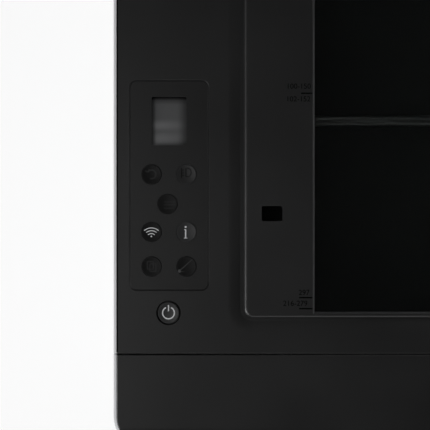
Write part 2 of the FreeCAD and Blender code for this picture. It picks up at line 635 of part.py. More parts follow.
DISPLAY_X = (f"{PANEL_X} - display_width/2", f"{PANEL_X} + display_width/2")
DISPLAY_Y = (f"{PANEL_Y[1]} - display_back - display_length", f"{PANEL_Y[1]} - display_back")
KEYS = {
    "key_back": ("-key_pitch/2", "key_row_a"), "key_plus": ("key_pitch/2", "key_row_a"),
    "key_minus": ("-0.8", "key_row_b"), "key_wireless": ("-key_pitch/2", "key_row_c"),
    "key_info": ("key_pitch/2", "key_row_c"), "key_copy": ("-key_pitch/2", "key_row_d"),
    "key_stop": ("key_pitch/2", "key_row_d"),
}
key_spots = {name: (f"{PANEL_X} + {x}", f"{PANEL_Y[0]} + {y}") for name, (x, y) in KEYS.items()}
plate = slab(PANEL_SPAN, PANEL_Y, (PANEL_UNDER, "deck_top"), "panel_round")
slope_edges(plate, "panel_edge", "panel_edge", lies_at("deck_top"))
PLATE_CUT = (f"{PANEL_UNDER} - 1", "deck_top + 1")
key_holes = [rod("z", PLATE_CUT, spot, "key_radius + key_gap") for spot in key_spots.values()]
node(carve(plate, slab(DISPLAY_X, DISPLAY_Y, PLATE_CUT, "display_corner"), *key_holes), "control_plate")
display_z = (f"{PANEL_UNDER} - display_thick", PANEL_UNDER)
node(box(grown(DISPLAY_X, "display_frame"), grown(DISPLAY_Y, "display_frame"), display_z), "display_panel")
switches = [
    box(*(grown((middle, middle), "switch_half") for middle in spot), (BOARD_TOP, "switch_top"))
    for spot in (*key_spots.values(), POWER_XY)
]
board = box(BOARD_X, grown(BOARD_Y, "5"), (f"{BOARD_TOP} - board_thick", BOARD_TOP))
node(join(board, *switches), "key_board")


def key(spot, radius, under, top):
    """A round key: dished cap, square flange held under its plate, stem down to the board's switch."""
    foot = f"({under} - 2*fit_gap - 1.5)"
    around = [grown((middle, middle), f"{radius} + key_flange") for middle in spot]
    within = [grown((middle, middle), "1.5") for middle in spot]
    head = rod("z", (f"{foot} + 1", top), spot, radius)
    flange = box(*around, (foot, f"{under} - 2*fit_gap"))
    stem = box(*within, ("switch_top + key_travel + fit_gap", f"{foot} + 0.5"))
    dish = doc.addObject("Part::Sphere", "dish")
    dish.setExpression("Radius", bound("key_dish"))
    put(dish, (*spot, f"{top} + sqrt(key_dish^2 - ({radius} - key_rim)^2)"))
    return carve(join(head, flange, stem), dish)


for name, spot in key_spots.items():
    node(key(spot, "key_radius", PANEL_UNDER, "deck_top + fit_gap"), name)
node(key(POWER_XY, "power_radius", DECK_UNDER, "deck_top + fit_gap"), "power_key")


# Lid, drawn shut, then turned open about its hinge pins

LID_X = (f"{LEFT} + lid_left", f"{RIGHT} - lid_right")
LID_Y = (f"{FRONT} + lid_front", LID_AXIS[0])
LID_TOP = f"{LID_BOTTOM} + lid_thick"
LID_CUT = (f"{LID_BOTTOM} - 1", f"{LID_TOP} + 1")
HINGES = (f"{LEFT} + hinge_left", f"{LEFT} + hinge_right")


def opened(piece):
    """A copy of a piece drawn shut, turned open about the lid's pins."""
    made = doc.addObject("Part::Compound", "opened")
    made.Links = [piece]
    centre = Vector(0, value(LID_AXIS[0]), value(LID_AXIS[1]))
    made.Placement = Placement(Vector(), Rotation(Vector(1, 0, 0), -value("lid_open")), centre)
    return made


lid_block = slab(LID_X, (LID_Y[0], f"{LID_Y[1]} + lid_corner"), (LID_BOTTOM, LID_TOP), "lid_corner")
round_edges(lid_block, "lid_edge", lies_at(LID_TOP))
lid_shell = overlap(lid_block, box(ALL_X, (f"{LID_Y[0]} - 1", LID_AXIS[0]), LID_CUT))
lid_hollow = box(
    grown(LID_X, "-lid_wall"),
    (f"{LID_Y[0]} + lid_wall", f"{LID_AXIS[0]} - hinge_room"),
    (LID_CUT[0], f"{LID_TOP} - lid_wall"),
)
roll = rod("x", grown(LID_X, "-1"), LID_AXIS, "lid_thick/2")
hinge_cuts = []
hinge_posts = []
for centre in HINGES:
    span = (f"{centre} - hinge_width/2", f"{centre} + hinge_width/2")
    hinge_cuts.append(box(grown(span, "fit_gap"), (f"{LID_AXIS[0]} - hinge_room", BACK), LID_CUT))
    hinge_cuts.append(rod("x", grown(span, "pin_reach + 1"), LID_AXIS, "hinge_pin + run_gap"))
    stand = box(span, grown((LID_AXIS[0], LID_AXIS[0]), "hinge_half"), ("deck_top", LID_AXIS[1]))
    knuckle = rod("x", span, LID_AXIS, "hinge_half")
    hinge_posts.append(join(stand, knuckle, rod("x", grown(span, "pin_reach"), LID_AXIS, "hinge_pin")))
tab = slab(
    grown(SLOT_X, "-tab_inset"), grown(SLOT_Y, "-tab_inset"), ("deck_top - 1", f"{LID_TOP} - lid_wall/2"), "1"
)
node(opened(join(carve(join(lid_shell, roll), lid_hollow, *hinge_cuts), tab)), "lid_cover")
pad = slab(
    grown(WINDOW_X, "pad_margin"),
    (f"{WINDOW_Y[0]} - pad_margin", f"{LID_AXIS[0]} - hinge_room - fit_gap"),
    (f"{BED_TOP} + fit_gap", f"{LID_TOP} - lid_wall"),
    "pad_corner",
)
node(opened(pad), "lid_pad")
node(group(*hinge_posts), "lid_hinges")


# Scanner unit under the glass

TUB_X = (f"{LEFT} + tub_left", f"{RIGHT} - tub_right")
TUB_Y = (f"{FRONT} + tub_front", f"{BACK} - tub_back")
TUB_FLOOR = "tub_bottom + tub_wall"
PULLEY_XY = ("scan_pulley_x", "scan_belt_y")
IDLER_XY = ("scan_idler_x", "scan_belt_y")
SCAN_BELT_Z = ("scan_belt_z", "scan_belt_z + belt_width")
SCAN_PULLEY_Z = "scan_belt_z - flange - belt_play"
SCAN_PIN_TOP = f"{SCAN_PULLEY_Z} + belt_width + 2*flange + 1"
BORE = "axle_radius + run_gap"
tub = carve(
    box(TUB_X, TUB_Y, ("tub_bottom", DECK_UNDER)),
    box(grown(TUB_X, "-tub_wall"), grown(TUB_Y, "-tub_wall"), (TUB_FLOOR, f"{DECK_UNDER} + 1")),
    rod("z", ("tub_bottom - 1", f"{TUB_FLOOR} + 1"), PULLEY_XY, "axle_radius + 2*fit_gap"),
)
idler_pin = rod("z", (f"{TUB_FLOOR} - 0.5", SCAN_PIN_TOP), IDLER_XY, "axle_radius")
node(join(tub, idler_pin), "scanner_tub")
node(rod("x", grown(TUB_X, "-tub_wall"), ("scan_rod_y", "scan_rod_z"), "scan_rod_radius"), "scan_rod")

SENSOR = ("sensor_home", "sensor_home")
SENSOR_TOP = "deck_top - glass_thick - 2*fit_gap"
SENSOR_BOTTOM = f"{SENSOR_TOP} - sensor_height"
SENSOR_SIDES = grown(SENSOR, "sensor_width/2")
SENSOR_Y = grown(TUB_Y, "-tub_wall - 3")
BELT_RUN_Y = ("scan_belt_y - belt_radius - belt_thick", "scan_belt_y - belt_radius")
sensor = prism(
    "XZ",
    [
        (SENSOR_SIDES[0], SENSOR_BOTTOM),
        (SENSOR_SIDES[1], SENSOR_BOTTOM),
        (SENSOR_SIDES[1], f"{SENSOR_TOP} - sensor_slope"),
        (f"{SENSOR_SIDES[1]} - sensor_slope", SENSOR_TOP),
        (f"{SENSOR_SIDES[0]} + sensor_slope", SENSOR_TOP),
        (SENSOR_SIDES[0], f"{SENSOR_TOP} - sensor_slope"),
    ],
    *SENSOR_Y,
)
lens = box(grown(SENSOR, "lens_width/2"), grown(SENSOR_Y, "-8"), (f"{SENSOR_TOP} - 1", f"{SENSOR_TOP} + 1"))
saddle_y = grown(("scan_rod_y", "scan_rod_y"), "10")
saddle = carve(
    box(grown(SENSOR, "15"), saddle_y, ("scan_rod_z - 4.6", f"{SENSOR_BOTTOM} + 1")),
    rod("x", grown(SENSOR, "16"), ("scan_rod_y", "scan_rod_z"), "scan_rod_radius + run_gap"),
)
CLAMP_X = ("sensor_home - 7", "sensor_home + 1")
clamp = carve(
    box(CLAMP_X, grown(BELT_RUN_Y, "2.8"), ("scan_belt_z - 1.1", f"{SENSOR_BOTTOM} + 1")),
    box(grown(CLAMP_X, "1"), grown(BELT_RUN_Y, "fit_gap"), grown(SCAN_BELT_Z, "fit_gap")),
)
node(join(carve(sensor, lens), saddle, clamp), "scan_carriage")
node(belt("z", ("scan_pulley_x", "scan_idler_x"), "scan_belt_y", SCAN_BELT_Z), "scan_belt")
node(pulley("z", (*PULLEY_XY, SCAN_PULLEY_Z), BORE), "scan_pulley")
node(pulley("z", (*IDLER_XY, SCAN_PULLEY_Z), BORE), "scan_idler")
scan_shaft = f"{SCAN_PIN_TOP} - tub_bottom"
scan_place = (*PULLEY_XY, "tub_bottom")
node(motor("z", scan_place, -1, "scan_motor_radius", "scan_motor_length", scan_shaft), "scan_motor")


# Print frame: two stamped cheeks on bent feet, the rail between them, the studs of its idlers

RAIL_Y = ("rail_y", "rail_y + frame_thick")
cheek_outline = [
    ("frame_front", FLOOR), ("frame_back", FLOOR), ("frame_back", "frame_top - 28"),
    ("frame_back - 34", "frame_top"), ("frame_front + 56", "frame_top"), ("frame_front", "frame_top - 30"),
]
front_opening = [
    ("frame_front + 36", "rail_bottom + 2", "3"), ("rod_y - 16", "rail_bottom + 2", "3"),
    ("rod_y - 16", "frame_top - 12", "3"), ("frame_front + 58", "frame_top - 12"),
    ("frame_front + 36", "frame_top - 24"),
]
back_opening = [
    ("rail_y + 8", "rail_bottom - 2", "3"), ("frame_back - 16", "rail_bottom - 2", "3"),
    ("frame_back - 16", "frame_top - 30"), ("frame_back - 36", "frame_top - 12"),
    ("rail_y + 8", "frame_top - 12", "3"),
]
RAIL_OPENINGS = (-120, -60, 0, 60, 120)
SHAFTS = {"feed": ("feed_y", "roller_z"), "output": (OUTPUT_Y, "roller_z"), "pick": ("pick_y", "pick_z")}
IDLER_YZ = (f"(feed_y + {OUTPUT_Y})/2", "roller_z")
MOTOR_YZ = (MOTOR_Y, MOTOR_Z)
ACROSS = ("-frame_half - 8", "frame_half + 8")
cheeks = [prism("YZ", cheek_outline, *span) for span in mirrored("frame_half", "frame_half + frame_thick")]
bent_feet = [
    box(span, along, (FLOOR, f"{FLOOR} + frame_thick"))
    for span in mirrored("frame_half - frame_foot", "frame_half")
    for along in (("frame_front", "frame_front + foot_length"), ("frame_back - foot_length", "frame_back"))
]
stamped = [prism("YZ", outline, *ACROSS) for outline in (front_opening, back_opening)]
stamped += [rod("x", ACROSS, spot, "shaft_radius + run_gap") for spot in SHAFTS.values()]
stamped.append(rod("x", (ACROSS[0], "0"), MOTOR_YZ, "motor_hole"))
stamped.append(rod("y", grown(RAIL_Y, "1"), ("-drive_pulley_x", "drive_belt_z"), "motor_hole"))
RAIL_OPENING_Z = ("rail_bottom + 12", "rail_bottom + 22")
stamped += [box((x - 20, x + 20), grown(RAIL_Y, "1"), RAIL_OPENING_Z) for x in RAIL_OPENINGS]
rail = box(("-frame_half - frame_thick", "frame_half + frame_thick"), RAIL_Y, ("rail_bottom", "frame_top"))
LIP_Z = ("frame_top - frame_thick", "frame_top")
lip = box(("-frame_half", "frame_half"), ("rail_y - rail_lip", RAIL_Y[1]), LIP_Z)
DRIVE_BELT_Y = ("drive_belt_y", "drive_belt_y + belt_width")
DRIVE_PULLEY_Y = "drive_belt_y - flange - belt_play"
DRIVE_PIN_END = f"{DRIVE_PULLEY_Y} - 0.2"
belt_stud = rod("y", (DRIVE_PIN_END, RAIL_Y[1]), ("drive_pulley_x", "drive_belt_z"), "axle_radius")
GEAR_END = "gear_left - 1"
gear_stud = rod("x", (GEAR_END, "-frame_half"), IDLER_YZ, "axle_radius")
node(join(carve(join(*cheeks, *bent_feet, rail, lip), *stamped), belt_stud, gear_stud), "print_frame")
node(rod("x", ("-frame_half", "frame_half"), ("rod_y", "rod_z"), "rod_radius"), "guide_rod")


# Print carriage on its rod, belt and drive

HOME = ("carriage_home", "carriage_home")
BAYS = [
    ("carriage_home - bay_gap - bay_width", "carriage_home - bay_gap"),
    ("carriage_home + bay_gap", "carriage_home + bay_gap + bay_width"),
]
BAY_Y = ("bay_front", "bay_back")
BAY_FLOOR = "carriage_bottom + 2"
HEAD_Y = ("bay_front + head_front", "bay_back - 5")
BODY_X = grown(HOME, "carriage_width/2")
SHOE_Y = ("rail_y - rail_lip - 2", "rail_y - 6")
SHOE_X = grown(HOME, "12")
UPPER_RUN = ("drive_belt_z + belt_radius", "drive_belt_z + belt_radius + belt_thick")
carriage_block = prism(
    "YZ",
    [
        ("carriage_front", "carriage_bottom + 6"),
        ("carriage_front + 6", "carriage_bottom"),
        ("carriage_back", "carriage_bottom"),
        ("carriage_back", "carriage_top"),
        ("carriage_front + 4", "carriage_top"),
        ("carriage_front", "carriage_top - 14"),
    ],
    *BODY_X,
)
side_ribs = [
    box(grown(BODY_X, "carriage_rib"), (y - 1, y + 1), ("carriage_bottom + 6", "carriage_top - 16"))
    for y in (-24, -4, 16)
]
bearing = box(grown(HOME, "20"), ("carriage_back - 1", "drive_belt_y - 1.5"), ("rod_z - 10", "rod_z + 11"))
SHOE_POST_Y = ("carriage_back - 2", "rail_y - rail_lip - 0.4")
shoe_post = box(SHOE_X, SHOE_POST_Y, ("carriage_top - 8", "frame_top + 2"))
shoe_low = box(SHOE_X, SHOE_Y, (f"{LIP_Z[0]} - 2.2", f"{LIP_Z[0]} - fit_gap"))
shoe_high = box(SHOE_X, SHOE_Y, (f"{LIP_Z[1]} + fit_gap", f"{LIP_Z[1]} + 2"))
grip_y = ("carriage_back + 8", f"{DRIVE_BELT_Y[1]} + 0.9")
grip_slot_y = ("drive_belt_y - belt_play", f"{DRIVE_BELT_Y[1]} + 2")
grip_block = box(grown(HOME, "10"), grip_y, grown(UPPER_RUN, "3"))
grip_slot = box(grown(HOME, "11"), grip_slot_y, grown(UPPER_RUN, "belt_play"))
carriage_cuts = [rod("x", grown(BODY_X, "2"), ("rod_y", "rod_z"), "rod_radius + run_gap")]
for bay in BAYS:
    carriage_cuts.append(box(bay, BAY_Y, (BAY_FLOOR, "carriage_top + 1")))
    carriage_cuts.append(box(grown(bay, "-4"), grown(HEAD_Y, "1"), ("carriage_bottom - 1", "carriage_top")))
shoes = (shoe_post, shoe_low, shoe_high)
solid = join(carriage_block, *side_ribs, bearing, *shoes, carve(grip_block, grip_slot))
node(carve(solid, *carriage_cuts), "carriage")


def cartridge(bay):
    """An ink cartridge: sloping back, ridged finger end, print head reaching through the bay's floor."""
    front, back = grown(BAY_Y, "-cartridge_gap")
    shoulder, crest = "carriage_top - 2", "carriage_top + 3"
    outline = [
        (front, BAY_FLOOR), (back, BAY_FLOOR), (back, "carriage_top - 10"), (f"{back} - 22", shoulder),
        (f"{front} + 14", shoulder), (f"{front} + 10", crest, "1.5"), (front, crest, "1.5"),
    ]
    width = grown(bay, "-cartridge_gap")
    ridge_z = (f"{crest} - 0.5", f"{crest} + 0.6")
    ridges = [
        box(grown(width, "-4"), (f"{front} + {y}", f"{front} + {y} + 1"), ridge_z) for y in (2.5, 4.5, 6.5)
    ]
    head = box(grown(bay, "-5"), HEAD_Y, ("paper_z + 1.2", f"{BAY_FLOOR} + 1"))
    return join(prism("YZ", outline, *width), head, *ridges)


node(cartridge(BAYS[0]), "colour_cartridge")
node(cartridge(BAYS[1]), "black_cartridge")
node(belt("y", ("-drive_pulley_x", "drive_pulley_x"), "drive_belt_z", DRIVE_BELT_Y), "carriage_belt")
node(pulley("y", ("-drive_pulley_x", DRIVE_PULLEY_Y, "drive_belt_z"), BORE), "carriage_pulley")
node(pulley("y", ("drive_pulley_x", DRIVE_PULLEY_Y, "drive_belt_z"), BORE), "carriage_idler")
drive_place = ("-drive_pulley_x", RAIL_Y[1], "drive_belt_z")
drive_shaft = f"{RAIL_Y[1]} - ({DRIVE_PIN_END})"
node(motor("y", drive_place, 1, "motor_radius", "motor_length", drive_shaft), "carriage_motor")


# Paper path: rollers, gears, guides, platen

STAR_XS = (-87, -37, 37, 87)
GEAR_X = ("gear_left", "gear_left + gear_width")
SHAFT_END = "frame_half + 4"
HUB = "shaft_radius + gear_hub"
idler_turn = mesh_turn("idler_teeth", "feed_teeth", 0, 180)
pinion_turn = mesh_turn("pinion_teeth", "feed_teeth", 0, value("motor_angle"))
output_turn = mesh_turn("feed_teeth", "idler_teeth", idler_turn, 180)


def roller(place, left_end, tyres, radius):
    """A shaft through both cheeks with round tyres on it."""
    shaft = rod("x", (left_end, SHAFT_END), place, "shaft_radius")
    return [shaft] + [rod("x", span, place, radius) for span in tyres]


def driven_roller(place, tyres, turn):
    """A roller that carries its own gear outside the left cheek."""
    wheel = toothed(GEAR_X[0], *place, "feed_teeth", "gear_width", turn)
    parts = roller(place, GEAR_END, tyres, "roller_radius")
    return join(*parts, lightened(wheel, "feed_teeth", place, HUB))


node(driven_roller(SHAFTS["feed"], [("-paper_half", "paper_half")], 0), "feed_roller")
node(driven_roller(SHAFTS["output"], [(x - 11, x + 11) for x in STAR_XS], output_turn), "output_roller")
node(join(*roller(SHAFTS["pick"], f"-({SHAFT_END})", mirrored("35", "60"), "pick_radius")), "pick_roller")
idler = toothed(GEAR_X[0], *IDLER_YZ, "idler_teeth", "gear_width", idler_turn)
idler = lightened(idler, "idler_teeth", IDLER_YZ, "axle_radius + gear_hub")
node(carve(idler, rod("x", grown(GEAR_X, "1"), IDLER_YZ, BORE)), "idler_gear")
pinion = toothed(GEAR_X[0], *MOTOR_YZ, "pinion_teeth", "gear_width", pinion_turn)
node(carve(pinion, rod("x", grown(GEAR_X, "1"), MOTOR_YZ, BORE)), "feed_pinion")
feed_place = ("-frame_half", *MOTOR_YZ)
feed_shaft = f"-frame_half - ({GEAR_END})"
node(motor("x", feed_place, 1, "motor_radius", "motor_length", feed_shaft), "feed_motor")

PINCH_YZ = ("feed_y", "roller_z + roller_radius + fit_gap + pinch_radius")
PINCH_XS = (-75, -25, 25, 75)
pinch_bar = box(("-paper_half", "paper_half"), ("rail_y - 11", "rail_y"), ("rail_bottom", "rail_bottom + 8"))
arm_outline = [
    ("feed_y - 2", f"{PINCH_YZ[1]} - 2"), ("feed_y + 2", f"{PINCH_YZ[1]} - 2"),
    ("rail_y - 10", "rail_bottom"), ("rail_y - 10", "rail_bottom + 7"), ("feed_y - 2", f"{PINCH_YZ[1]} + 3"),
]
pinch_arms = []
pinch_rolls = []
for x in PINCH_XS:
    left, right = f"{x} - pinch_half", f"{x} + pinch_half"
    pinch_rolls.append(rod("x", (left, right), PINCH_YZ, "pinch_radius"))
    pinch_arms.append(prism("YZ", arm_outline, f"{left} - fit_gap - pinch_arm", f"{left} - fit_gap"))
    pinch_arms.append(prism("YZ", arm_outline, f"{right} + fit_gap", f"{right} + fit_gap + pinch_arm"))
node(join(pinch_bar, *pinch_arms), "pinch_carrier")
node(group(*pinch_rolls), "pinch_rollers")

STAR_YZ = (OUTPUT_Y, "roller_z + roller_radius + fit_gap + star_radius")
STAR_POINTS, STAR_ROOT, STAR_HALF_THICK = 10, 0.8, 0.6


def star_wheel(x):
    """A thin spiked wheel on a short round axle."""
    outline = []
    for i in range(2 * STAR_POINTS):
        turn = math.pi * i / STAR_POINTS
        reach = f"star_radius*{1 if i % 2 == 0 else STAR_ROOT}"
        along, up = f"{reach}*{math.cos(turn):.6f}", f"{reach}*{math.sin(turn):.6f}"
        outline.append((f"{STAR_YZ[0]} + {along}", f"{STAR_YZ[1]} + {up}"))
    axle = rod("x", (f"{x} - star_half", f"{x} + star_half"), STAR_YZ, "star_axle")
    return join(prism("YZ", outline, x - STAR_HALF_THICK, x + STAR_HALF_THICK), axle)


BAR_Y = grown((OUTPUT_Y, OUTPUT_Y), "star_bar_half")
BAR_Z = (f"{STAR_YZ[1]} - 2", f"{STAR_YZ[1]} + 13")
star_bar = prism(
    "YZ",
    [
        (BAR_Y[0], BAR_Z[0]), (BAR_Y[1], BAR_Z[0]), (BAR_Y[1], f"{BAR_Z[1]} - 4"),
        (f"{BAR_Y[1]} - 3", BAR_Z[1]), (f"{BAR_Y[0]} + 3", BAR_Z[1]), (BAR_Y[0], f"{BAR_Z[1]} - 4"),
    ],
    "-frame_half",
    "frame_half",
)
star_room = grown((OUTPUT_Y, OUTPUT_Y), "star_radius + fit_gap")
star_slots = [
    box(
        grown((f"{x} - star_half", f"{x} + star_half"), "fit_gap"),
        star_room,
        (f"{BAR_Z[0]} - 1", f"{STAR_YZ[1]} + star_radius + fit_gap"),
    )
    for x in STAR_XS
]
node(carve(star_bar, *star_slots), "star_wheel_bar")
node(group(*(star_wheel(x) for x in STAR_XS)), "star_wheels")

PLATEN_Y = (f"{OUTPUT_Y} + roller_radius + 3", "feed_y - roller_radius - 3")
PLATEN_XS = range(-105, 106, 15)
platen_bed = box(("-frame_half", "station_left"), PLATEN_Y, ("paper_z - platen_drop", "paper_z - 2"))
rib_outline = [
    (PLATEN_Y[0], "paper_z - 3"), (PLATEN_Y[1], "paper_z - 3"),
    (f"{PLATEN_Y[1]} - 4", "paper_z - fit_gap"), (f"{PLATEN_Y[0]} + 4", "paper_z - fit_gap"),
]
platen_ribs = [prism("YZ", rib_outline, x - 0.8, x + 0.8) for x in PLATEN_XS]
node(join(platen_bed, *platen_ribs), "platen")

TURN_XS = (-110, -20, 20, 110)
TURN_INNER = "pick_radius + turn_gap"


def turn_shell(span, inner):
    """The curved guide behind the pick roller: a stretch of a ring round the roller's axis."""
    outer = rod("x", span, SHAFTS["pick"], f"{TURN_INNER} + turn_thick")
    return carve(outer, rod("x", grown(span, "1"), SHAFTS["pick"], inner))


turn_keep = box(ALL_X, ("pick_y + 2", BACK), ("pick_z - 18", "base_top + 60"))
turn_ribs = [turn_shell((x - 0.8, x + 0.8), f"{TURN_INNER} - turn_rib") for x in TURN_XS]
turn_guide = join(turn_shell(("-frame_half", "frame_half"), TURN_INNER), *turn_ribs)
node(overlap(turn_guide, turn_keep), "paper_turn_guide")

lift_leaf = box(("-lift_half", "lift_half"), ("lift_front", "lift_back"), ("lift_z", "lift_z + lift_thick"))
LIFT_PINS = grown(("-lift_half", "lift_half"), "lug_half - fit_gap")
node(join(lift_leaf, rod("x", LIFT_PINS, LIFT_YZ, "axle_radius")), "lift_plate")


# Trays: input tray, width guide, output shelf and extender

TRAY_X = ("-tray_half", "tray_half")
TRAY_Y = (f"{FRONT} + tray_gap", f"{FRONT} + tray_gap + tray_thick")
TRAY_RIB_XS = (-100, -60, 60, 100)
tray_leaf = box(TRAY_X, TRAY_Y, ("tray_axis_z", "tray_top"))
tray_lip = box(TRAY_X, (f"{TRAY_Y[1]} - 0.4", f"{TRAY_Y[1]} + 2.6"), ("tray_top - 2", "tray_top"))
TRAY_RIB_Y = (f"{TRAY_Y[1]} - 1", f"{TRAY_Y[1]} + tray_rib")
tray_ribs = [box((x - 0.8, x + 0.8), TRAY_RIB_Y, ("tray_axis_z + 8", "tray_top - 1")) for x in TRAY_RIB_XS]
tray_roll = rod("x", TRAY_X, TRAY_AXIS, "tray_axis_y - tray_gap")
tray_pins = rod("x", grown(TRAY_X, "6.5"), TRAY_AXIS, "tray_pin")
finger_notch = rod("y", grown(TRAY_Y, "4"), ("0", "tray_top + tray_notch - notch_depth"), "tray_notch")
node(carve(join(tray_leaf, tray_lip, *tray_ribs, tray_roll, tray_pins), finger_notch), "paper_tray")
GUIDE_LOW = "rib_top + fit_gap"
fin = side_fin(("-guide_half - guide_thick", "-guide_half"), GUIDE_LOW)
FOOT_Y = ("guide_front + 50", "guide_back - 30")
fin_foot = box(("-guide_half - guide_thick", "-guide_half + 24"), FOOT_Y, (GUIDE_LOW, f"{GUIDE_LOW} + 1.2"))
node(join(fin, fin_foot), "paper_width_guide")

SHELF_END = "opening_width/2 - fit_gap"
SHELF_Y = (f"{FRONT} + shelf_front", "shelf_back")
SHELF_Z = ("shelf_top - shelf_thick", "shelf_top")
SHELF_RIBS = (76, 91, 106)
shelf_floor = box((f"-({SHELF_END})", SHELF_END), SHELF_Y, SHELF_Z)
shelf_walls = [
    box(span, SHELF_Y, (SHELF_Z[0], "door_bottom - 1")) for span in mirrored(f"{SHELF_END} - 2", SHELF_END)
]
shelf_ribs = [
    box(span, grown(SHELF_Y, "-6"), ("shelf_top - 1", "shelf_top + shelf_rib"))
    for x in SHELF_RIBS
    for span in mirrored(x - 1, x + 1)
]
EXTENDER_TOP = "shelf_top + fit_gap + extender_thick"
RAIL_TOP = f"{EXTENDER_TOP} + extender_rail"
RAIL_SIDE = ("extender_half + fit_gap", "shelf_top - 1")
RAIL_LIP = ("extender_half - 2", f"{EXTENDER_TOP} + fit_gap")
rails = [
    box(span, SHELF_Y, (low, RAIL_TOP))
    for near, low in (RAIL_SIDE, RAIL_LIP)
    for span in mirrored(near, "extender_half + 3")
]
node(join(shelf_floor, *shelf_walls, *shelf_ribs, *rails), "output_shelf")
EXTENDER_Y = (SHELF_Y[0], f"{SHELF_Y[0]} + extender_length")
leaf = slab(("-extender_half", "extender_half"), EXTENDER_Y, ("shelf_top + fit_gap", EXTENDER_TOP), "3")
pull_outline = [
    (f"{EXTENDER_Y[0]} + 1", f"{EXTENDER_TOP} - 1"), (f"{EXTENDER_Y[0]} + 9", f"{EXTENDER_TOP} - 1"),
    (f"{EXTENDER_Y[0]} + 4", f"{EXTENDER_TOP} + 4"), (f"{EXTENDER_Y[0]} + 1", f"{EXTENDER_TOP} + 4"),
]
node(join(leaf, prism("YZ", pull_outline, "-18", "18")), "output_extender")


# Service station

STATION_X, STATION_Y = ("station_left", "station_right"), ("station_front", "station_back")
SLED_TOP = "paper_z - 4"
station_room = [grown(span, "-station_wall") for span in (STATION_X, STATION_Y)]
station = carve(
    box(STATION_X, STATION_Y, (FLOOR, "station_top")),
    box(*station_room, (f"{FLOOR} + 8", "station_top + 1")),
)
node(station, "service_station")
sled_gap = "-station_wall - 0.8"
sled = box(grown(STATION_X, sled_gap), grown(STATION_Y, sled_gap), ("station_top - 18", SLED_TOP))
on_sled = []
for bay in BAYS:
    cup = box(grown(bay, "-3"), grown(HEAD_Y, "2"), (f"{SLED_TOP} - 1", "paper_z + 0.9"))
    on_sled.append(carve(cup, box(grown(bay, "-5"), HEAD_Y, ("paper_z - 2", "paper_z + 2"))))
    wiper_y = (f"{HEAD_Y[0]} - 8", f"{HEAD_Y[0]} - 8 + wiper_thick")
    on_sled.append(box(grown(bay, "-5"), wiper_y, (f"{SLED_TOP} - 1", "paper_z + 2")))
node(join(sled, *on_sled), "service_sled")


# Boards, power unit and sockets at the back

MAIN_Y = ("rail_y + 8", f"{BACK} - 7")
CHIPS = (((60, 84), (90, 114), 3), ((100, 116), (84, 100), 2))
RIBBON_SOCKETS = (((36, 56), (72, 76), 6), ((120, 150), (72, 76), 6))
CAN_XS, CAN_Y, CAN_HEIGHT = (50, 64, 78), 124, 14
chips = [
    box(x, y, (f"{MAIN_TOP} - 0.5", f"{MAIN_TOP} + {height}")) for x, y, height in CHIPS + RIBBON_SOCKETS
]
cans = [rod("z", (f"{MAIN_TOP} - 0.5", f"{MAIN_TOP} + {CAN_HEIGHT}"), (x, CAN_Y), "5") for x in CAN_XS]
node(join(box(("30", "frame_half"), MAIN_Y, ("main_board_z", MAIN_TOP)), *chips, *cans), "main_board")
WELL_Y = (f"{BACK} - well_depth", f"{BACK} + 1")
usb_well = box(grown(USB_X, "-usb_wall"), WELL_Y, grown(USB_Z, "-usb_wall"))
node(carve(box(USB_X, (f"{BACK} - 17", BACK), USB_Z), usb_well), "usb_port")
UNIT_X = ("inlet_centre - 40", "inlet_centre + 70")
unit = box(UNIT_X, (RAIL_Y[1], f"{BACK} - 13"), grown(("inlet_z", "inlet_z"), "16"))
neck = carve(inlet_form("0", (f"{BACK} - 14", BACK)), inlet_form("-inlet_wall", WELL_Y))
PRONG_Y = (f"{BACK} - well_depth - 1", f"{BACK} - 2")
prongs = [rod("y", PRONG_Y, (f"inlet_centre + {x}", "inlet_z"), "1.2") for x in (-4, 4)]
node(join(unit, neck, *prongs), "power_unit")


# Checks and files

doc.recompute()
broken = [o.Label for o in doc.Objects if "Invalid" in o.State or "Error" in o.State]
if broken:
    raise RuntimeError(f"not built: {broken}")
os.makedirs("parts", exist_ok=True)
for piece in nodes:
    if not piece.Shape.isValid() or not piece.Shape.Solids:
        raise RuntimeError(f"not a sound solid: {piece.Label}")
    piece.Shape.exportStep(f"parts/{piece.Label}.step")
print(len(nodes), "pieces written")
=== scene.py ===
# %% [markdown]
# # A compact flatbed inkjet printer
#
# The photograph looks straight down on the left front part of the printer's deck, with the scanner lid
# open behind it. The solid model gives every fixed and moving piece its place. This script gives those
# pieces their finishes, and adds what is too fine for the solid model: printed signs, size marks, belt
# teeth, screws, clips, contacts and labels.

# %% Load the frame
import json
import math

import bmesh
import bpy
import numpy as np
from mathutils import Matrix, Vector


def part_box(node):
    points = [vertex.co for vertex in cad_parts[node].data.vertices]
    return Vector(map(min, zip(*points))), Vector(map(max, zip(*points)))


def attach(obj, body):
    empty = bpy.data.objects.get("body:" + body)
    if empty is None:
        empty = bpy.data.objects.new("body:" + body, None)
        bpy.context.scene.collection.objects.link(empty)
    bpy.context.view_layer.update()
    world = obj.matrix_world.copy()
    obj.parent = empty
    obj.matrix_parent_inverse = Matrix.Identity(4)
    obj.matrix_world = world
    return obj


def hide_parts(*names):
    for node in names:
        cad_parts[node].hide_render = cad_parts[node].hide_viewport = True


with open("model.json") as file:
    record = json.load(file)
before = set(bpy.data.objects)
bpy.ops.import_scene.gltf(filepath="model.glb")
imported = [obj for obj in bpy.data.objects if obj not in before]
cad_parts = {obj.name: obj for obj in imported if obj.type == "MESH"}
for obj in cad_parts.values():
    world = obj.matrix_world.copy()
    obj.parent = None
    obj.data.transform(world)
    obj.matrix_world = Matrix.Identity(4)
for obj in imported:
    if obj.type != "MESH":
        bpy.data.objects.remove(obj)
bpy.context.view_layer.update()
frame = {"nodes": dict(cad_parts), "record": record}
nodes = frame["nodes"]
scene = bpy.context.scene
MM = 0.001

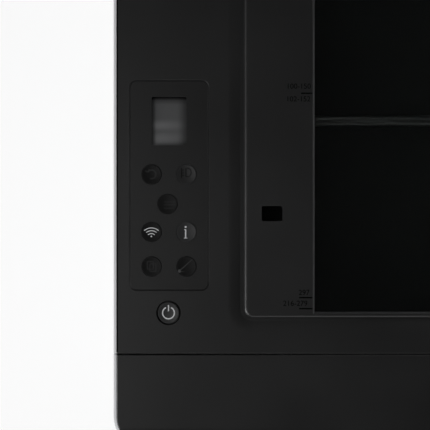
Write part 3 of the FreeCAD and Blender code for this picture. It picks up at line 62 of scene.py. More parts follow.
# %% [markdown]
# ## Camera
#
# The case's left side stands on one pixel column of the photograph, and the size marks on the bed give
# the scale, so the camera's place follows from two values: pixels per millimetre, and the pixel of the
# case's front left corner. A long lens straight down keeps the sides of the case out of sight.

# %% Camera straight above the deck
FRAME_PX = 430
PX_PER_MM = 1.887
CASE_LEFT_PX = 113.0
CASE_FRONT_PX = 448.4
CAMERA_RISE = 0.90

case_low, case_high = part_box("outer_case")
deck_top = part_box("control_plate")[1].z


def at_pixel(px, py):
    """The plan point, in metres, that one pixel of the photograph shows on the deck."""
    x = case_low.x + (np.asarray(px) - CASE_LEFT_PX) / PX_PER_MM * MM
    y = -case_high.y + (CASE_FRONT_PX - np.asarray(py)) / PX_PER_MM * MM
    return np.stack([x, y], axis=-1)


view_centre = at_pixel(FRAME_PX / 2, FRAME_PX / 2)
view_span = FRAME_PX / PX_PER_MM * MM
camera_data = bpy.data.cameras.new("plan_camera")
camera_data.sensor_fit = "HORIZONTAL"
camera_data.angle = 2 * math.atan(view_span / 2 / CAMERA_RISE)
camera = bpy.data.objects.new("plan_camera", camera_data)
camera.location = (view_centre[0], view_centre[1], deck_top + CAMERA_RISE)
scene.collection.objects.link(camera)
scene.camera = camera
print("camera over", view_centre.round(4), "sees", round(view_span, 4), "m")

# %% [markdown]
# ## Nodes by hand
#
# Every light and finish below is a small tree of shader nodes. Four helpers keep the trees readable: one
# adds a node with its settings and links, one does a step of arithmetic, one maps a value from one range
# onto another, and one takes a vector apart.

# %% Node helpers
def add(tree, kind, links=(), **settings):
    """Adds a node: settings are its properties, links are (input socket, output socket or value)."""
    made = tree.nodes.new("ShaderNode" + kind)
    for label, setting in settings.items():
        setattr(made, label, setting)
    for socket, source in links:
        if isinstance(source, bpy.types.NodeSocket):
            tree.links.new(source, made.inputs[socket])
        else:
            made.inputs[socket].default_value = source
    return made


def sum_of(tree, operation, *sources):
    """One arithmetic step on values or sockets."""
    return add(tree, "Math", tuple(enumerate(sources)), operation=operation).outputs["Value"]


def stretch(tree, source, low, high, to_low, to_high, curve="LINEAR"):
    """Maps a value from one range onto another, held at the ends."""
    links = ((0, source), (1, low), (2, high), (3, to_low), (4, to_high))
    return add(tree, "MapRange", links, interpolation_type=curve).outputs[0]


def split(tree, vector):
    """The X, Y and Z of a vector, or of a colour taken as one."""
    return add(tree, "SeparateXYZ", ((0, vector),)).outputs


# %% [markdown]
# ## World and lamps
#
# A black deck shows what it mirrors, so the room matters more than the lamps. Here the ceiling is dark and
# the walls are bright, as in a photographer's tent with its top shut: radiance grows from the zenith to
# the horizon, and a little more on the left and in front. Two large lamps at the sides, low enough to stay
# out of the deck's reflection, do the lighting, and a weak one in front picks out the bed's front edge. A
# weak strip overhead is there only to be mirrored: it makes the left side of the deck the lightest, and
# the sheen falls away from there.

# %% World
scene.view_settings.view_transform = "Standard"
ZENITH, HORIZON, WALL_CURVE = 0.012, 0.70, 1.8
LEFT_LEAN, FRONT_LEAN = 0.15, 0.4
TENT_TINT = (0.985, 0.99, 1.0, 1)

world = bpy.data.worlds.new("studio_tent")
scene.world = world
world.use_nodes = True
tent = world.node_tree
way = split(tent, add(tent, "TexCoord").outputs["Generated"])
lowness = stretch(tent, way["Z"], 0.0, 1.0, 1.0, 0.0)
wall = stretch(tent, sum_of(tent, "POWER", lowness, WALL_CURVE), 0.0, 1.0, ZENITH, HORIZON)
lean = sum_of(tent, "MULTIPLY_ADD", way["X"], -LEFT_LEAN, 1.0)
lean = sum_of(tent, "MULTIPLY_ADD", way["Y"], -FRONT_LEAN, lean)
tent_light = tent.nodes["Background"]
tent_light.inputs["Color"].default_value = TENT_TINT
tent.links.new(sum_of(tent, "MULTIPLY", wall, lean), tent_light.inputs["Strength"])
print("tent from", ZENITH, "overhead to", HORIZON, "at the horizon")

# %% Lamps
def area_lamp(name, place, target, sides, watts):
    """A soft rectangular lamp that faces a point and isn't seen itself."""
    data = bpy.data.lights.new(name, "AREA")
    data.shape = "RECTANGLE"
    data.size, data.size_y = sides
    data.energy = watts
    lamp = bpy.data.objects.new(name, data)
    lamp.location = place
    lamp.rotation_euler = (Vector(target) - Vector(place)).to_track_quat("-Z", "Y").to_euler()
    lamp.visible_camera = False
    scene.collection.objects.link(lamp)


MIDDLE = (-0.1, 0, 0.14)
STRIP_X, STRIP_Y, STRIP_Z = -0.40, -0.10, 1.1
LAMPS = (
    ("left_lamp", (-1.15, -0.55, 0.70), MIDDLE, (0.8, 0.8), 13),
    ("right_lamp", (0.95, 0.45, 0.85), MIDDLE, (0.8, 0.8), 12),
    ("front_lamp", (-0.05, -1.25, 0.65), MIDDLE, (0.9, 0.3), 1.6),
    ("overhead_strip", (STRIP_X, STRIP_Y, STRIP_Z), (STRIP_X, STRIP_Y, 0), (0.20, 0.5), 0.56),
)
for lamp in LAMPS:
    area_lamp(*lamp)
print("lamps", [lamp[0] for lamp in LAMPS])

# %% [markdown]
# ## Table
#
# The printer stands on a white table. The table is lit like anything else, so that it keeps the printer's
# shadow, but rays from the camera, a mirror or a window see mostly plain white, with a share of the lit
# table and its shadow mixed in.

# %% Table
TABLE_HALF = 9.0
TABLE_GREY, TABLE_ROUGH = 0.9, 0.9
SHADOW_SHOWN = 0.15
corners = TABLE_HALF * np.array([(-1, -1, 0), (1, -1, 0), (1, 1, 0), (-1, 1, 0)])
table_mesh = bpy.data.meshes.new("table")
table_mesh.from_pydata(corners.tolist(), [], [(0, 1, 2, 3)])
table = bpy.data.objects.new("table", table_mesh)
scene.collection.objects.link(table)

table_white = bpy.data.materials.new("table_white")
table_white.use_nodes = True
tree = table_white.node_tree
table_paint = tree.nodes["Principled BSDF"]
table_paint.inputs["Base Color"].default_value = (TABLE_GREY, TABLE_GREY, TABLE_GREY, 1)
table_paint.inputs["Roughness"].default_value = TABLE_ROUGH
rays = add(tree, "LightPath")
looked_at = sum_of(tree, "MAXIMUM", rays.outputs["Is Camera Ray"], rays.outputs["Is Glossy Ray"])
looked_at = sum_of(tree, "MAXIMUM", looked_at, rays.outputs["Is Transmission Ray"])
links = (
    (0, sum_of(tree, "MULTIPLY", looked_at, 1 - SHADOW_SHOWN)),
    (1, table_paint.outputs["BSDF"]),
    (2, add(tree, "Emission").outputs["Emission"]),
)
table_mix = add(tree, "MixShader", links)
tree.links.new(table_mix.outputs["Shader"], tree.nodes["Material Output"].inputs["Surface"])
table_mesh.materials.append(table_white)
print("table", 2 * TABLE_HALF, "m wide")

# %% [markdown]
# ## Shared effects
#
# Moulded plastic is never one flat colour. A spark-eroded mould leaves a fine grain, the pigment is a
# little uneven, edges rub pale and dust settles on what faces up. Each effect is a node group with named
# inputs, built once, and every finish below places it with values of its own.

# %% Group helpers
VECTOR, FLOAT = "NodeSocketVector", "NodeSocketFloat"


def start_group(name, inputs, outputs):
    """An empty node group with a Place, named values and named results, and its two end nodes."""
    group = bpy.data.node_groups.new(name, "ShaderNodeTree")
    group.interface.new_socket("Place", in_out="INPUT", socket_type=VECTOR)
    for label, kind, value in inputs:
        group.interface.new_socket(label, in_out="INPUT", socket_type=kind).default_value = value
    for label in outputs:
        group.interface.new_socket(label, in_out="OUTPUT", socket_type=FLOAT)
    return group, group.nodes.new("NodeGroupInput").outputs, group.nodes.new("NodeGroupOutput").inputs


def noise(tree, place, scale, detail):
    """Cloudy noise between 0 and 1."""
    return add(tree, "TexNoise", (("Vector", place), ("Scale", scale), ("Detail", detail))).outputs["Fac"]


# %% Grain and cloud of moulded plastic
CLOUD_SPAN = (0.3, 0.7)
moulded, given, result = start_group(
    "moulded_grain",
    [("Grain per metre", FLOAT, 2500.0), ("Cloud per metre", FLOAT, 14.0)],
    ["Grain", "Cloud"],
)
grain = noise(moulded, given["Place"], given["Grain per metre"], 2.0)
cloud = noise(moulded, given["Place"], given["Cloud per metre"], 4.0)
moulded.links.new(grain, result["Grain"])
moulded.links.new(stretch(moulded, cloud, *CLOUD_SPAN, 0.0, 1.0), result["Cloud"])
print("group", moulded.name)

# %% Rubbed edges: where a rounded normal leaves the flat one
BENT_SPAN = (0.99, 0.80)
PATCHES_PER_METRE, PATCH_SPAN, PATCH_SHARE = 90.0, (0.35, 0.65), (0.4, 1.0)
edges, given, result = start_group("rubbed_edges", [("Reach", FLOAT, 0.6 * MM)], ["Mask"])
rounded = add(edges, "Bevel", (("Radius", given["Reach"]),), samples=6)
flat = add(edges, "NewGeometry")
facing = add(
    edges,
    "VectorMath",
    ((0, rounded.outputs["Normal"]), (1, flat.outputs["Normal"])),
    operation="DOT_PRODUCT",
).outputs["Value"]
sharp = stretch(edges, facing, *BENT_SPAN, 0.0, 1.0)
mottle = noise(edges, given["Place"], PATCHES_PER_METRE, 3.0)
patches = stretch(edges, mottle, *PATCH_SPAN, *PATCH_SHARE)
edges.links.new(sum_of(edges, "MULTIPLY", sharp, patches), result["Mask"])
print("group", edges.name)

# %% Dust on what faces up: few specks and a thin film
UPWARD_SPAN, SPECK_SPAN, SPECK_CHANCE = (0.3, 0.95), (0.05, 0.14), (0.80, 1.0)
FILM_PER_METRE, FILM_SPAN, FILM_SHARE = 24.0, (0.45, 0.75), (0.0, 0.35)
dusty, given, result = start_group("settled_dust", [("Specks per metre", FLOAT, 420.0)], ["Mask"])
tilt = split(dusty, add(dusty, "NewGeometry").outputs["Normal"])
upward = stretch(dusty, tilt["Z"], *UPWARD_SPAN, 0.0, 1.0)
cells = add(dusty, "TexVoronoi", (("Vector", given["Place"]), ("Scale", given["Specks per metre"])))
speck = stretch(dusty, cells.outputs["Distance"], *SPECK_SPAN, 1.0, 0.0)
chance = split(dusty, cells.outputs["Color"])
few = stretch(dusty, chance["X"], *SPECK_CHANCE, 0.0, 1.0)
haze = noise(dusty, given["Place"], FILM_PER_METRE, 5.0)
film = stretch(dusty, haze, *FILM_SPAN, *FILM_SHARE)
fallen = sum_of(dusty, "MAXIMUM", sum_of(dusty, "MULTIPLY", speck, few), film)
dusty.links.new(sum_of(dusty, "MULTIPLY", fallen, upward), result["Mask"])
print("group", dusty.name)

# %% Drawn metal: streaks along one axis, and the plating's crystals
CRYSTALS_PER_METRE = 260.0
drawn, given, result = start_group(
    "drawn_metal", [("Stretch", VECTOR, (8.0, 900.0, 900.0))], ["Streak", "Crystal"]
)
pulled = add(drawn, "VectorMath", ((0, given["Place"]), (1, given["Stretch"])), operation="MULTIPLY")
drawn.links.new(noise(drawn, pulled.outputs["Vector"], 1.0, 3.0), result["Streak"])
zinc = add(drawn, "TexVoronoi", (("Vector", given["Place"]), ("Scale", CRYSTALS_PER_METRE)))
drawn.links.new(split(drawn, zinc.outputs["Color"])["X"], result["Crystal"])
print("group", drawn.name)

# %% [markdown]
# ## Plastic finishes
#
# One function makes every plastic: two shades of the pigment mixed by the cloud, a pale rub on the edges,
# dust on top, a roughness that follows the cloud, and the mould's grain as a bump. The case is white, the
# deck a fine satin black, the control plate a smoother black, and the keys a darker and duller one.

# %% Plastic
def place_of(tree):
    """The surface point in the object's own frame, in metres."""
    return add(tree, "TexCoord").outputs["Object"]


def use_group(tree, group, place, **values):
    """Places a node group, with its values given by socket name (underscores for spaces)."""
    made = tree.nodes.new("ShaderNodeGroup")
    made.node_tree = group
    tree.links.new(place, made.inputs["Place"])
    for label, number in values.items():
        made.inputs[label.replace("_", " ")].default_value = number
    return made.outputs


def mix_colour(tree, factor, first, second):
    """One colour blended into another by a factor; a colour is a socket or three numbers."""
    shades = [(*c, 1.0) if isinstance(c, tuple) else c for c in (first, second)]
    links = ((0, factor), (6, shades[0]), (7, shades[1]))
    return add(tree, "Mix", links, data_type="RGBA").outputs[2]


def bare_material(name):
    """A new material, its tree and its Principled shader's inputs."""
    made = bpy.data.materials.new(name)
    made.use_nodes = True
    return made, made.node_tree, made.node_tree.nodes["Principled BSDF"].inputs


def add_bump(tree, shader, height, strength, depth):
    """A bump from a height, its depth in metres."""
    links = (("Strength", strength), ("Distance", depth), ("Height", height))
    tree.links.new(add(tree, "Bump", links).outputs["Normal"], shader["Normal"])


LINT = (0.5, 0.49, 0.47)
FINE_GRAIN = (2500.0, 0.03)
GRAIN_DEPTH = 0.2 * MM


def plastic(name, dark, light, roughness, specular=0.5, grain=FINE_GRAIN, rub=(0.0, LINT), dust=0.0):
    """Moulded plastic between two shades, rough between two values, grained, rubbed and dusty.

    The grain is its count per metre and its strength, the rub its share and its colour.
    """
    made, tree, shader = bare_material(name)
    place = place_of(tree)
    mould = use_group(tree, moulded, place, Grain_per_metre=grain[0])
    colour = mix_colour(tree, mould["Cloud"], dark, light)
    worn = sum_of(tree, "MULTIPLY", use_group(tree, edges, place)["Mask"], rub[0])
    colour = mix_colour(tree, worn, colour, rub[1])
    if dust:
        lint = sum_of(tree, "MULTIPLY", use_group(tree, dusty, place)["Mask"], dust)
        colour = mix_colour(tree, lint, colour, LINT)
    tree.links.new(colour, shader["Base Color"])
    tree.links.new(stretch(tree, mould["Cloud"], 0.0, 1.0, *roughness), shader["Roughness"])
    add_bump(tree, shader, mould["Grain"], grain[1], GRAIN_DEPTH)
    shader["Specular IOR Level"].default_value = specular
    return made


# %% Plastics of this printer
COOL_GREEN, COOL_BLUE = 1.01, 1.03
PALE_RUB = (0.95, 0.95, 0.94)
GREY_RUB = (0.10, 0.10, 0.105)
GEAR_DARK, GEAR_LIGHT = (0.66, 0.65, 0.60), (0.74, 0.73, 0.69)


def grey(level):
    """A neutral black or grey, a touch cool."""
    return (level, level * COOL_GREEN, level * COOL_BLUE)


PLASTICS = {
    "case_white": (grey(0.74), grey(0.79), (0.42, 0.52), 0.45, (2200.0, 0.05), (0.2, PALE_RUB), 0.03),
    "deck_black": (grey(0.003), grey(0.0042), (0.35, 0.40), 0.5, (2600.0, 0.1), (0.2, GREY_RUB), 0.006),
    "panel_black": (grey(0.003), grey(0.004), (0.34, 0.39), 0.44, (3200.0, 0.05), (0.15, GREY_RUB), 0.006),
    "key_black": (grey(0.0014), grey(0.002), (0.36, 0.42), 0.22, (3500.0, 0.02), (0.1, GREY_RUB), 0.004),
    "inner_grey": (grey(0.13), grey(0.17), (0.5, 0.6), 0.4, (2000.0, 0.08), (0.3, grey(0.34)), 0.06),
    "gear_white": (GEAR_DARK, GEAR_LIGHT, (0.35, 0.45), 0.5, (2600.0, 0.02), (0.2, PALE_RUB)),
    "ink_black": (grey(0.012), grey(0.018), (0.35, 0.45), 0.4, FINE_GRAIN, (0.3, GREY_RUB)),
    "ink_grey": (grey(0.30), grey(0.36), (0.4, 0.5), 0.4, FINE_GRAIN, (0.3, grey(0.55))),
    "soft_rubber": (grey(0.018), grey(0.03), (0.72, 0.85), 0.25, (1500.0, 0.15), (0.3, grey(0.09)), 0.08),
    "well_black": (grey(0.002), grey(0.0035), (0.7, 0.8), 0.15, FINE_GRAIN, (0.05, GREY_RUB)),
}
finishes = {name: plastic(name, *values) for name, values in PLASTICS.items()}
print("plastics", sorted(finishes))

# %% [markdown]
# ## Painted shade on the slope of the white rim
#
# The white wall ends in a narrow slope round the deck, painted a darker grey as painted shade. The slope is
# the only white face that leans half upwards, so the upward part of its normal tells it from the rest.

# %% Painted shade on the slope
SLOPE_UP, SLOPE_ROOM, SLOPE_SOFT = 0.71, 0.08, 0.03
SLOPE_SHADE_GREY = grey(0.52)

tree = finishes["case_white"].node_tree
paint = tree.nodes["Principled BSDF"].inputs["Base Color"]
upward = split(tree, add(tree, "NewGeometry").outputs["Normal"])["Z"]
off_slope = sum_of(tree, "ABSOLUTE", sum_of(tree, "SUBTRACT", upward, SLOPE_UP))
sloped = stretch(tree, off_slope, SLOPE_ROOM, SLOPE_ROOM + SLOPE_SOFT, 1.0, 0.0)
# Painted shade: the slope's colour is mixed towards a darker grey.
tree.links.new(mix_colour(tree, sloped, paint.links[0].from_socket, SLOPE_SHADE_GREY), paint)
print("painted_shade_on slope of", finishes["case_white"].name)

# %% [markdown]
# ## Metal and glass
#
# The print frame and the motor cans are zinc-plated sheet: drawn streaks along X, with the plating's
# crystals as faint patches. The guide rod is ground steel, screws and clips a plainer one. The bed is clear
# float glass with a faint green and, as any used scanner has, faint smears that change only its roughness.

# %% Metals
CRYSTAL_SHARE, STREAK_SPAN, STREAK_BUMP = 0.4, (0.3, 0.7), 0.05


def metal(name, dark, light, roughness, pull):
    """Drawn metal: streaks along one axis change both its shade and its roughness."""
    made, tree, shader = bare_material(name)
    lines = use_group(tree, drawn, place_of(tree), Stretch=pull)
    blend = sum_of(tree, "MULTIPLY", lines["Crystal"], CRYSTAL_SHARE)
    blend = sum_of(tree, "MULTIPLY_ADD", lines["Streak"], 1 - CRYSTAL_SHARE, blend)
    tree.links.new(mix_colour(tree, blend, dark, light), shader["Base Color"])
    tree.links.new(stretch(tree, lines["Streak"], *STREAK_SPAN, *roughness), shader["Roughness"])
    add_bump(tree, shader, lines["Streak"], STREAK_BUMP, GRAIN_DEPTH)
    shader["Metallic"].default_value = 1.0
    return made


METALS = {
    "steel": ("zinc_sheet", grey(0.50), grey(0.66), (0.28, 0.42), (8, 700, 700)),
    "ground_steel": ("ground_steel", grey(0.60), grey(0.74), (0.16, 0.24), (4, 900, 900)),
    "screw_steel": ("screw_steel", grey(0.42), grey(0.58), (0.25, 0.38), (900, 900, 900)),
    "contact_gold": ("contact_gold", (0.72, 0.52, 0.22), (0.83, 0.64, 0.32), (0.2, 0.3), (900, 60, 900)),
}
for name, values in METALS.items():
    finishes[name] = metal(*values)
print("metals", sorted(METALS))

# %% Glass
GLASS_TINT, GLASS_INDEX = (0.93, 0.97, 0.95, 1), 1.5
SMEARS_PER_METRE, SMEAR_SPAN, SMEAR_ROUGH = 9.0, (0.3, 1.0), (0.01, 0.05)

glass, tree, shader = bare_material("bed_glass")
smear = use_group(tree, moulded, place_of(tree), Cloud_per_metre=SMEARS_PER_METRE)
tree.links.new(stretch(tree, smear["Cloud"], *SMEAR_SPAN, *SMEAR_ROUGH), shader["Roughness"])
shader["Base Color"].default_value = GLASS_TINT
shader["Transmission Weight"].default_value = 1.0
shader["IOR"].default_value = GLASS_INDEX
finishes["bed_glass"] = glass
print("finishes with glass", len(finishes))

# %% [markdown]
# ## Lid pad
#
# The pad that presses a sheet on the glass is white film over foam, and the foam's cells show through as
# soft dimples. A coarse grain as bump, with hardly any change of colour, is enough for that.

# %% Lid pad
PAD_WHITES, PAD_ROUGH = (grey(0.70), grey(0.75)), (0.42, 0.55)
DIMPLES = {"Grain_per_metre": 160.0, "Cloud_per_metre": 7.0}
DIMPLE_BUMP, DIMPLE_DEPTH = 0.12, 0.6 * MM

pad, tree, shader = bare_material("lid_pad_film")
dimples = use_group(tree, moulded, place_of(tree), **DIMPLES)
tree.links.new(mix_colour(tree, dimples["Cloud"], *PAD_WHITES), shader["Base Color"])
tree.links.new(stretch(tree, dimples["Cloud"], 0.0, 1.0, *PAD_ROUGH), shader["Roughness"])
add_bump(tree, shader, dimples["Grain"], DIMPLE_BUMP, DIMPLE_DEPTH)
finishes["lid_white"] = pad
print("pad", pad.name)

# %% [markdown]
# ## Solids of more than one finish
#
# A roller is one solid for the joint that turns it, but it is a steel shaft with rubber tyres and a white
# gear. A board carries chips and cans. The finish tells them apart by place: by the distance from the
# shaft's axis, the stretch of X, or the height over the board. Each layer has a mask, a colour, a
# roughness and a share of metal, and covers the ones before it.

# %% Layers by place
SOFT_EDGE = 0.05 * MM


def over(tree, source, level):
    """0 below a level and 1 above it, with a soft edge."""
    return stretch(tree, source, level - SOFT_EDGE, level + SOFT_EDGE, 0.0, 1.0)


def under(tree, source, level):
    """1 below a level and 0 above it, with a soft edge."""
    return stretch(tree, source, level - SOFT_EDGE, level + SOFT_EDGE, 1.0, 0.0)


def both(tree, *masks):
    """The place where every mask is 1."""
    joint = masks[0]
    for mask in masks[1:]:
        joint = sum_of(tree, "MULTIPLY", joint, mask)
    return joint


def mix_value(tree, factor, first, second):
    """One value blended into another by a factor."""
    return add(tree, "Mix", ((0, factor), (2, first), (3, second))).outputs[0]


def lay(tree, shader, base, layers):
    """Lays finishes over a base: each has a mask, a colour, a roughness and a share of metal."""
    colour, rough = base
    metallic = 0.0
    for mask, shade, roughness, metal_share in layers:
        colour = mix_colour(tree, mask, colour, shade)
        rough = mix_value(tree, mask, rough, roughness)
        metallic = mix_value(tree, mask, metallic, metal_share)
    tree.links.new(colour, shader["Base Color"])
    tree.links.new(rough, shader["Roughness"])
    tree.links.new(metallic, shader["Metallic"])


# %% Rollers: rubber tyres, steel shaft, white gear
SHAFT_RADIUS, LAYER_ROOM = 4 * MM, 0.1 * MM
SHAFT_GREYS, SHAFT_PULL, SHAFT_ROUGH = (grey(0.55), grey(0.72)), (4, 900, 900), 0.24
TYRE_GREYS, TYRE_ROUGH = (grey(0.018), grey(0.034)), (0.68, 0.82)
TYRE_GRAIN, TYRE_BUMP = 1500.0, 0.1
COG_WHITE, COG_ROUGH = (0.70, 0.69, 0.65), 0.4
gear_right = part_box("idler_gear")[1].x


def middle_of(name):
    """The middle of a node's box."""
    low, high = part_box(name)
    return (low + high) / 2


def roller_finish(name, geared):
    """Rubber beyond the shaft's radius, steel within it, and white plastic on the gear's stretch of X."""
    made, tree, shader = bare_material(name + "_finish")
    place = place_of(tree)
    axis = middle_of(name)
    links = ((0, place), (1, (0, 1, 1)), (2, (0, -axis.y, -axis.z)))
    across = add(tree, "VectorMath", links, operation="MULTIPLY_ADD")
    radius = add(tree, "VectorMath", ((0, across.outputs["Vector"]),), operation="LENGTH").outputs["Value"]
    along = split(tree, place)["X"]
    mould = use_group(tree, moulded, place, Grain_per_metre=TYRE_GRAIN)
    lines = use_group(tree, drawn, place, Stretch=SHAFT_PULL)
    rubber = mix_colour(tree, mould["Cloud"], *TYRE_GREYS)
    shaft = mix_colour(tree, lines["Streak"], *SHAFT_GREYS)
    layers = [(under(tree, radius, SHAFT_RADIUS + LAYER_ROOM), shaft, SHAFT_ROUGH, 1.0)]
    if geared:
        layers.append((under(tree, along, gear_right + LAYER_ROOM), COG_WHITE, COG_ROUGH, 0.0))
    lay(tree, shader, (rubber, stretch(tree, mould["Cloud"], 0, 1, *TYRE_ROUGH)), layers)
    add_bump(tree, shader, mould["Grain"], TYRE_BUMP, GRAIN_DEPTH)
    return made


for name, geared in (("feed_roller", True), ("output_roller", True), ("pick_roller", False)):
    finishes[name] = roller_finish(name, geared)
print("finishes with rollers", len(finishes))

# %% [markdown]
# ## Circuit boards and inlet
#
# A board is green lacquer over copper tracks, which show as paler lines. What stands higher than the
# board is a part on it: black chips and switches, pale sockets at the front edge, and bare metal cans
# towards the back. The mains inlet's two prongs are told apart by their distance from its middle.

# %% Boards
BOARD_THICK, TRACK_RISE, TRACK_BUMP = 1.6 * MM, 0.04 * MM, 0.3
CAN_FROM_Y, CAN_TO_Y, CAN_TO_X, SOCKET_TO_Y = 118 * MM, 130 * MM, 84 * MM, 77 * MM
CHIP_BLACK, CAN_GREY, SOCKET_CREAM = grey(0.012), grey(0.66), (0.62, 0.60, 0.53)
CHIP_ROUGH, CAN_ROUGH, SOCKET_ROUGH, LACQUER_ROUGH = 0.42, 0.3, 0.5, (0.32, 0.22)
TRACKS = (
    ("Scale", 140.0),
    ("Mortar Size", 0.035),
    ("Color1", (0.012, 0.075, 0.035, 1)),
    ("Color2", (0.016, 0.090, 0.042, 1)),
    ("Mortar", (0.035, 0.16, 0.075, 1)),
)


def board_finish(name, cans):
    """Green lacquer with paler tracks, black parts above it, and metal cans and pale sockets by place."""
    made, tree, shader = bare_material(name + "_finish")
    place = place_of(tree)
    spot = split(tree, place)
    tracks = add(tree, "TexBrick", (("Vector", place), *TRACKS))
    on_board = over(tree, spot["Z"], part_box(name)[0].z + BOARD_THICK)
    layers = [(on_board, CHIP_BLACK, CHIP_ROUGH, 0.0)]
    if cans:
        behind = both(tree, on_board, over(tree, spot["Y"], CAN_FROM_Y), under(tree, spot["Y"], CAN_TO_Y))
        layers.append((both(tree, behind, under(tree, spot["X"], CAN_TO_X)), CAN_GREY, CAN_ROUGH, 1.0))
        sockets = both(tree, on_board, under(tree, spot["Y"], SOCKET_TO_Y))
        layers.append((sockets, SOCKET_CREAM, SOCKET_ROUGH, 0.0))
    lacquer = stretch(tree, tracks.outputs["Fac"], 0, 1, *LACQUER_ROUGH)
    lay(tree, shader, (tracks.outputs["Color"], lacquer), layers)
    add_bump(tree, shader, tracks.outputs["Fac"], TRACK_BUMP, TRACK_RISE)
    return made


finishes["main_board"] = board_finish("main_board", True)
finishes["key_board"] = board_finish("key_board", False)
print("finishes with boards", len(finishes))

# %% Inlet
INLET_MIDDLE = (-110 * MM, 82 * MM)
PRONG_APART, PRONG_ROOM, WELL_FLOOR = 4 * MM, 1.5 * MM, 144.75 * MM
PRONG_GREY, PRONG_ROUGH = grey(0.68), 0.22
INLET_BLACKS, INLET_ROUGH, INLET_BUMP = (grey(0.016), grey(0.022)), (0.45, 0.55), 0.05

made, tree, shader = bare_material("power_unit_finish")
place = place_of(tree)
spot = split(tree, place)
aside = sum_of(tree, "ABSOLUTE", sum_of(tree, "SUBTRACT", spot["X"], INLET_MIDDLE[0]))
aside = sum_of(tree, "SUBTRACT", aside, PRONG_APART)
above = sum_of(tree, "SUBTRACT", spot["Z"], INLET_MIDDLE[1])
away = sum_of(tree, "ADD", sum_of(tree, "MULTIPLY", aside, aside), sum_of(tree, "MULTIPLY", above, above))
near = under(tree, sum_of(tree, "SQRT", away), PRONG_ROOM)
mould = use_group(tree, moulded, place)
pigment = mix_colour(tree, mould["Cloud"], *INLET_BLACKS)
prong = (both(tree, near, over(tree, spot["Y"], WELL_FLOOR)), PRONG_GREY, PRONG_ROUGH, 1.0)
lay(tree, shader, (pigment, stretch(tree, mould["Cloud"], 0, 1, *INLET_ROUGH)), [prong])
add_bump(tree, shader, mould["Grain"], INLET_BUMP, GRAIN_DEPTH)
finishes["power_unit"] = made
print("finishes", len(finishes))

# %% [markdown]
# ## Display
#
# The display is a grey liquid-crystal pane at the bottom of its frame. Across its lower half it is painted
# paler in two bands, two bell curves of the Y coordinate bent a little by noise, because a real pane is
# never quite flat. The bands fade to the right. Towards the back and the sides the pane darkens in painted
# shade under its frame. A polished strip at the back edge mirrors the dark ceiling like a crevice.

# %% Display finish
BANDS = ((125.0, 7.5, 0.46), (139.3, 10.8, 0.48))
BAND_BEND, RIPPLES_PER_METRE = 2.0 * MM, 60.0
BAND_AT_LEFT, BAND_AT_RIGHT = 1.3, 0.25
PANE_GREY, BAND_GREY, FRAME_SHADE = grey(0.058), grey(0.148), grey(0.002)
RIGHT_SHARE, LEFT_SHARE = 0.42, 0.15
PANE_ROUGH, CREVICE_ROUGH, PANE_SPECULAR = (0.30, 0.37), 0.06, 0.25
FRAME_LAP, CREVICE = 2.0 * MM, 0.9 * MM
SHADE_BACK, SHADE_RIGHT, SHADE_LEFT = 4.0 * MM, 4.8 * MM, 2.2 * MM
pane_low, pane_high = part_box("display_panel")
open_left, open_right = pane_low.x + FRAME_LAP, pane_high.x - FRAME_LAP
open_back = pane_high.y - FRAME_LAP

display, tree, shader = bare_material("display_grey")
place = place_of(tree)
spot = split(tree, place)
ripple = noise(tree, place, RIPPLES_PER_METRE, 1.0)
bent = sum_of(tree, "MULTIPLY_ADD", ripple, BAND_BEND, spot["Y"])
pale_bands = 0.0
for row, half_rows, level in BANDS:
    centre = float(at_pixel(0, row)[1]) + BAND_BEND / 2
    distance = sum_of(tree, "ABSOLUTE", sum_of(tree, "SUBTRACT", bent, centre))
    band = stretch(tree, distance, 0.0, half_rows / PX_PER_MM * MM, level, 0.0, "SMOOTHSTEP")
    pale_bands = sum_of(tree, "ADD", band, pale_bands)
pale_bands = both(tree, pale_bands, stretch(tree, spot["X"], open_left, open_right, BAND_AT_LEFT, BAND_AT_RIGHT))
# Painted shade: the pane is darker towards the back and the sides, where the frame's edges shade it.
lit = stretch(tree, spot["Y"], open_back - SHADE_BACK, open_back, 1.0, 0.0)
lit = both(tree, lit, stretch(tree, spot["X"], open_right - SHADE_RIGHT, open_right, 1.0, RIGHT_SHARE))
lit = both(tree, lit, stretch(tree, spot["X"], open_left, open_left + SHADE_LEFT, LEFT_SHARE, 1.0))
pane = mix_colour(tree, pale_bands, PANE_GREY, BAND_GREY)
tree.links.new(mix_colour(tree, lit, FRAME_SHADE, pane), shader["Base Color"])
crevice = stretch(tree, spot["Y"], open_back - 2 * CREVICE, open_back - CREVICE, 0.0, 1.0)
rough = stretch(tree, ripple, 0, 1, *PANE_ROUGH)
tree.links.new(mix_value(tree, crevice, rough, CREVICE_ROUGH), shader["Roughness"])
shader["Specular IOR Level"].default_value = PANE_SPECULAR
finishes["display_grey"] = display
print("display bands", len(BANDS))

# %% [markdown]
# ## Hollow round the bed
#
# A channel runs round the raised bed. In the solid model its outer side is one plane slope. A real mould
# is hollowed there: level at the deck, steepest by the bed. The finish shows that with a bump whose height
# is d - c d^2 / D, where d is the depth under the deck and D the channel's depth: the first term cancels
# the plane slope, and the second puts a growing one in its place.

# %% Deck finish with the hollow
CHANNEL_DEPTH, CHANNEL_WIDTH, HOLLOW = 1.1 * MM, 8.5 * MM, 0.5
BED_LEFT, BED_FRONT = 69.4 * MM, 69.3 * MM

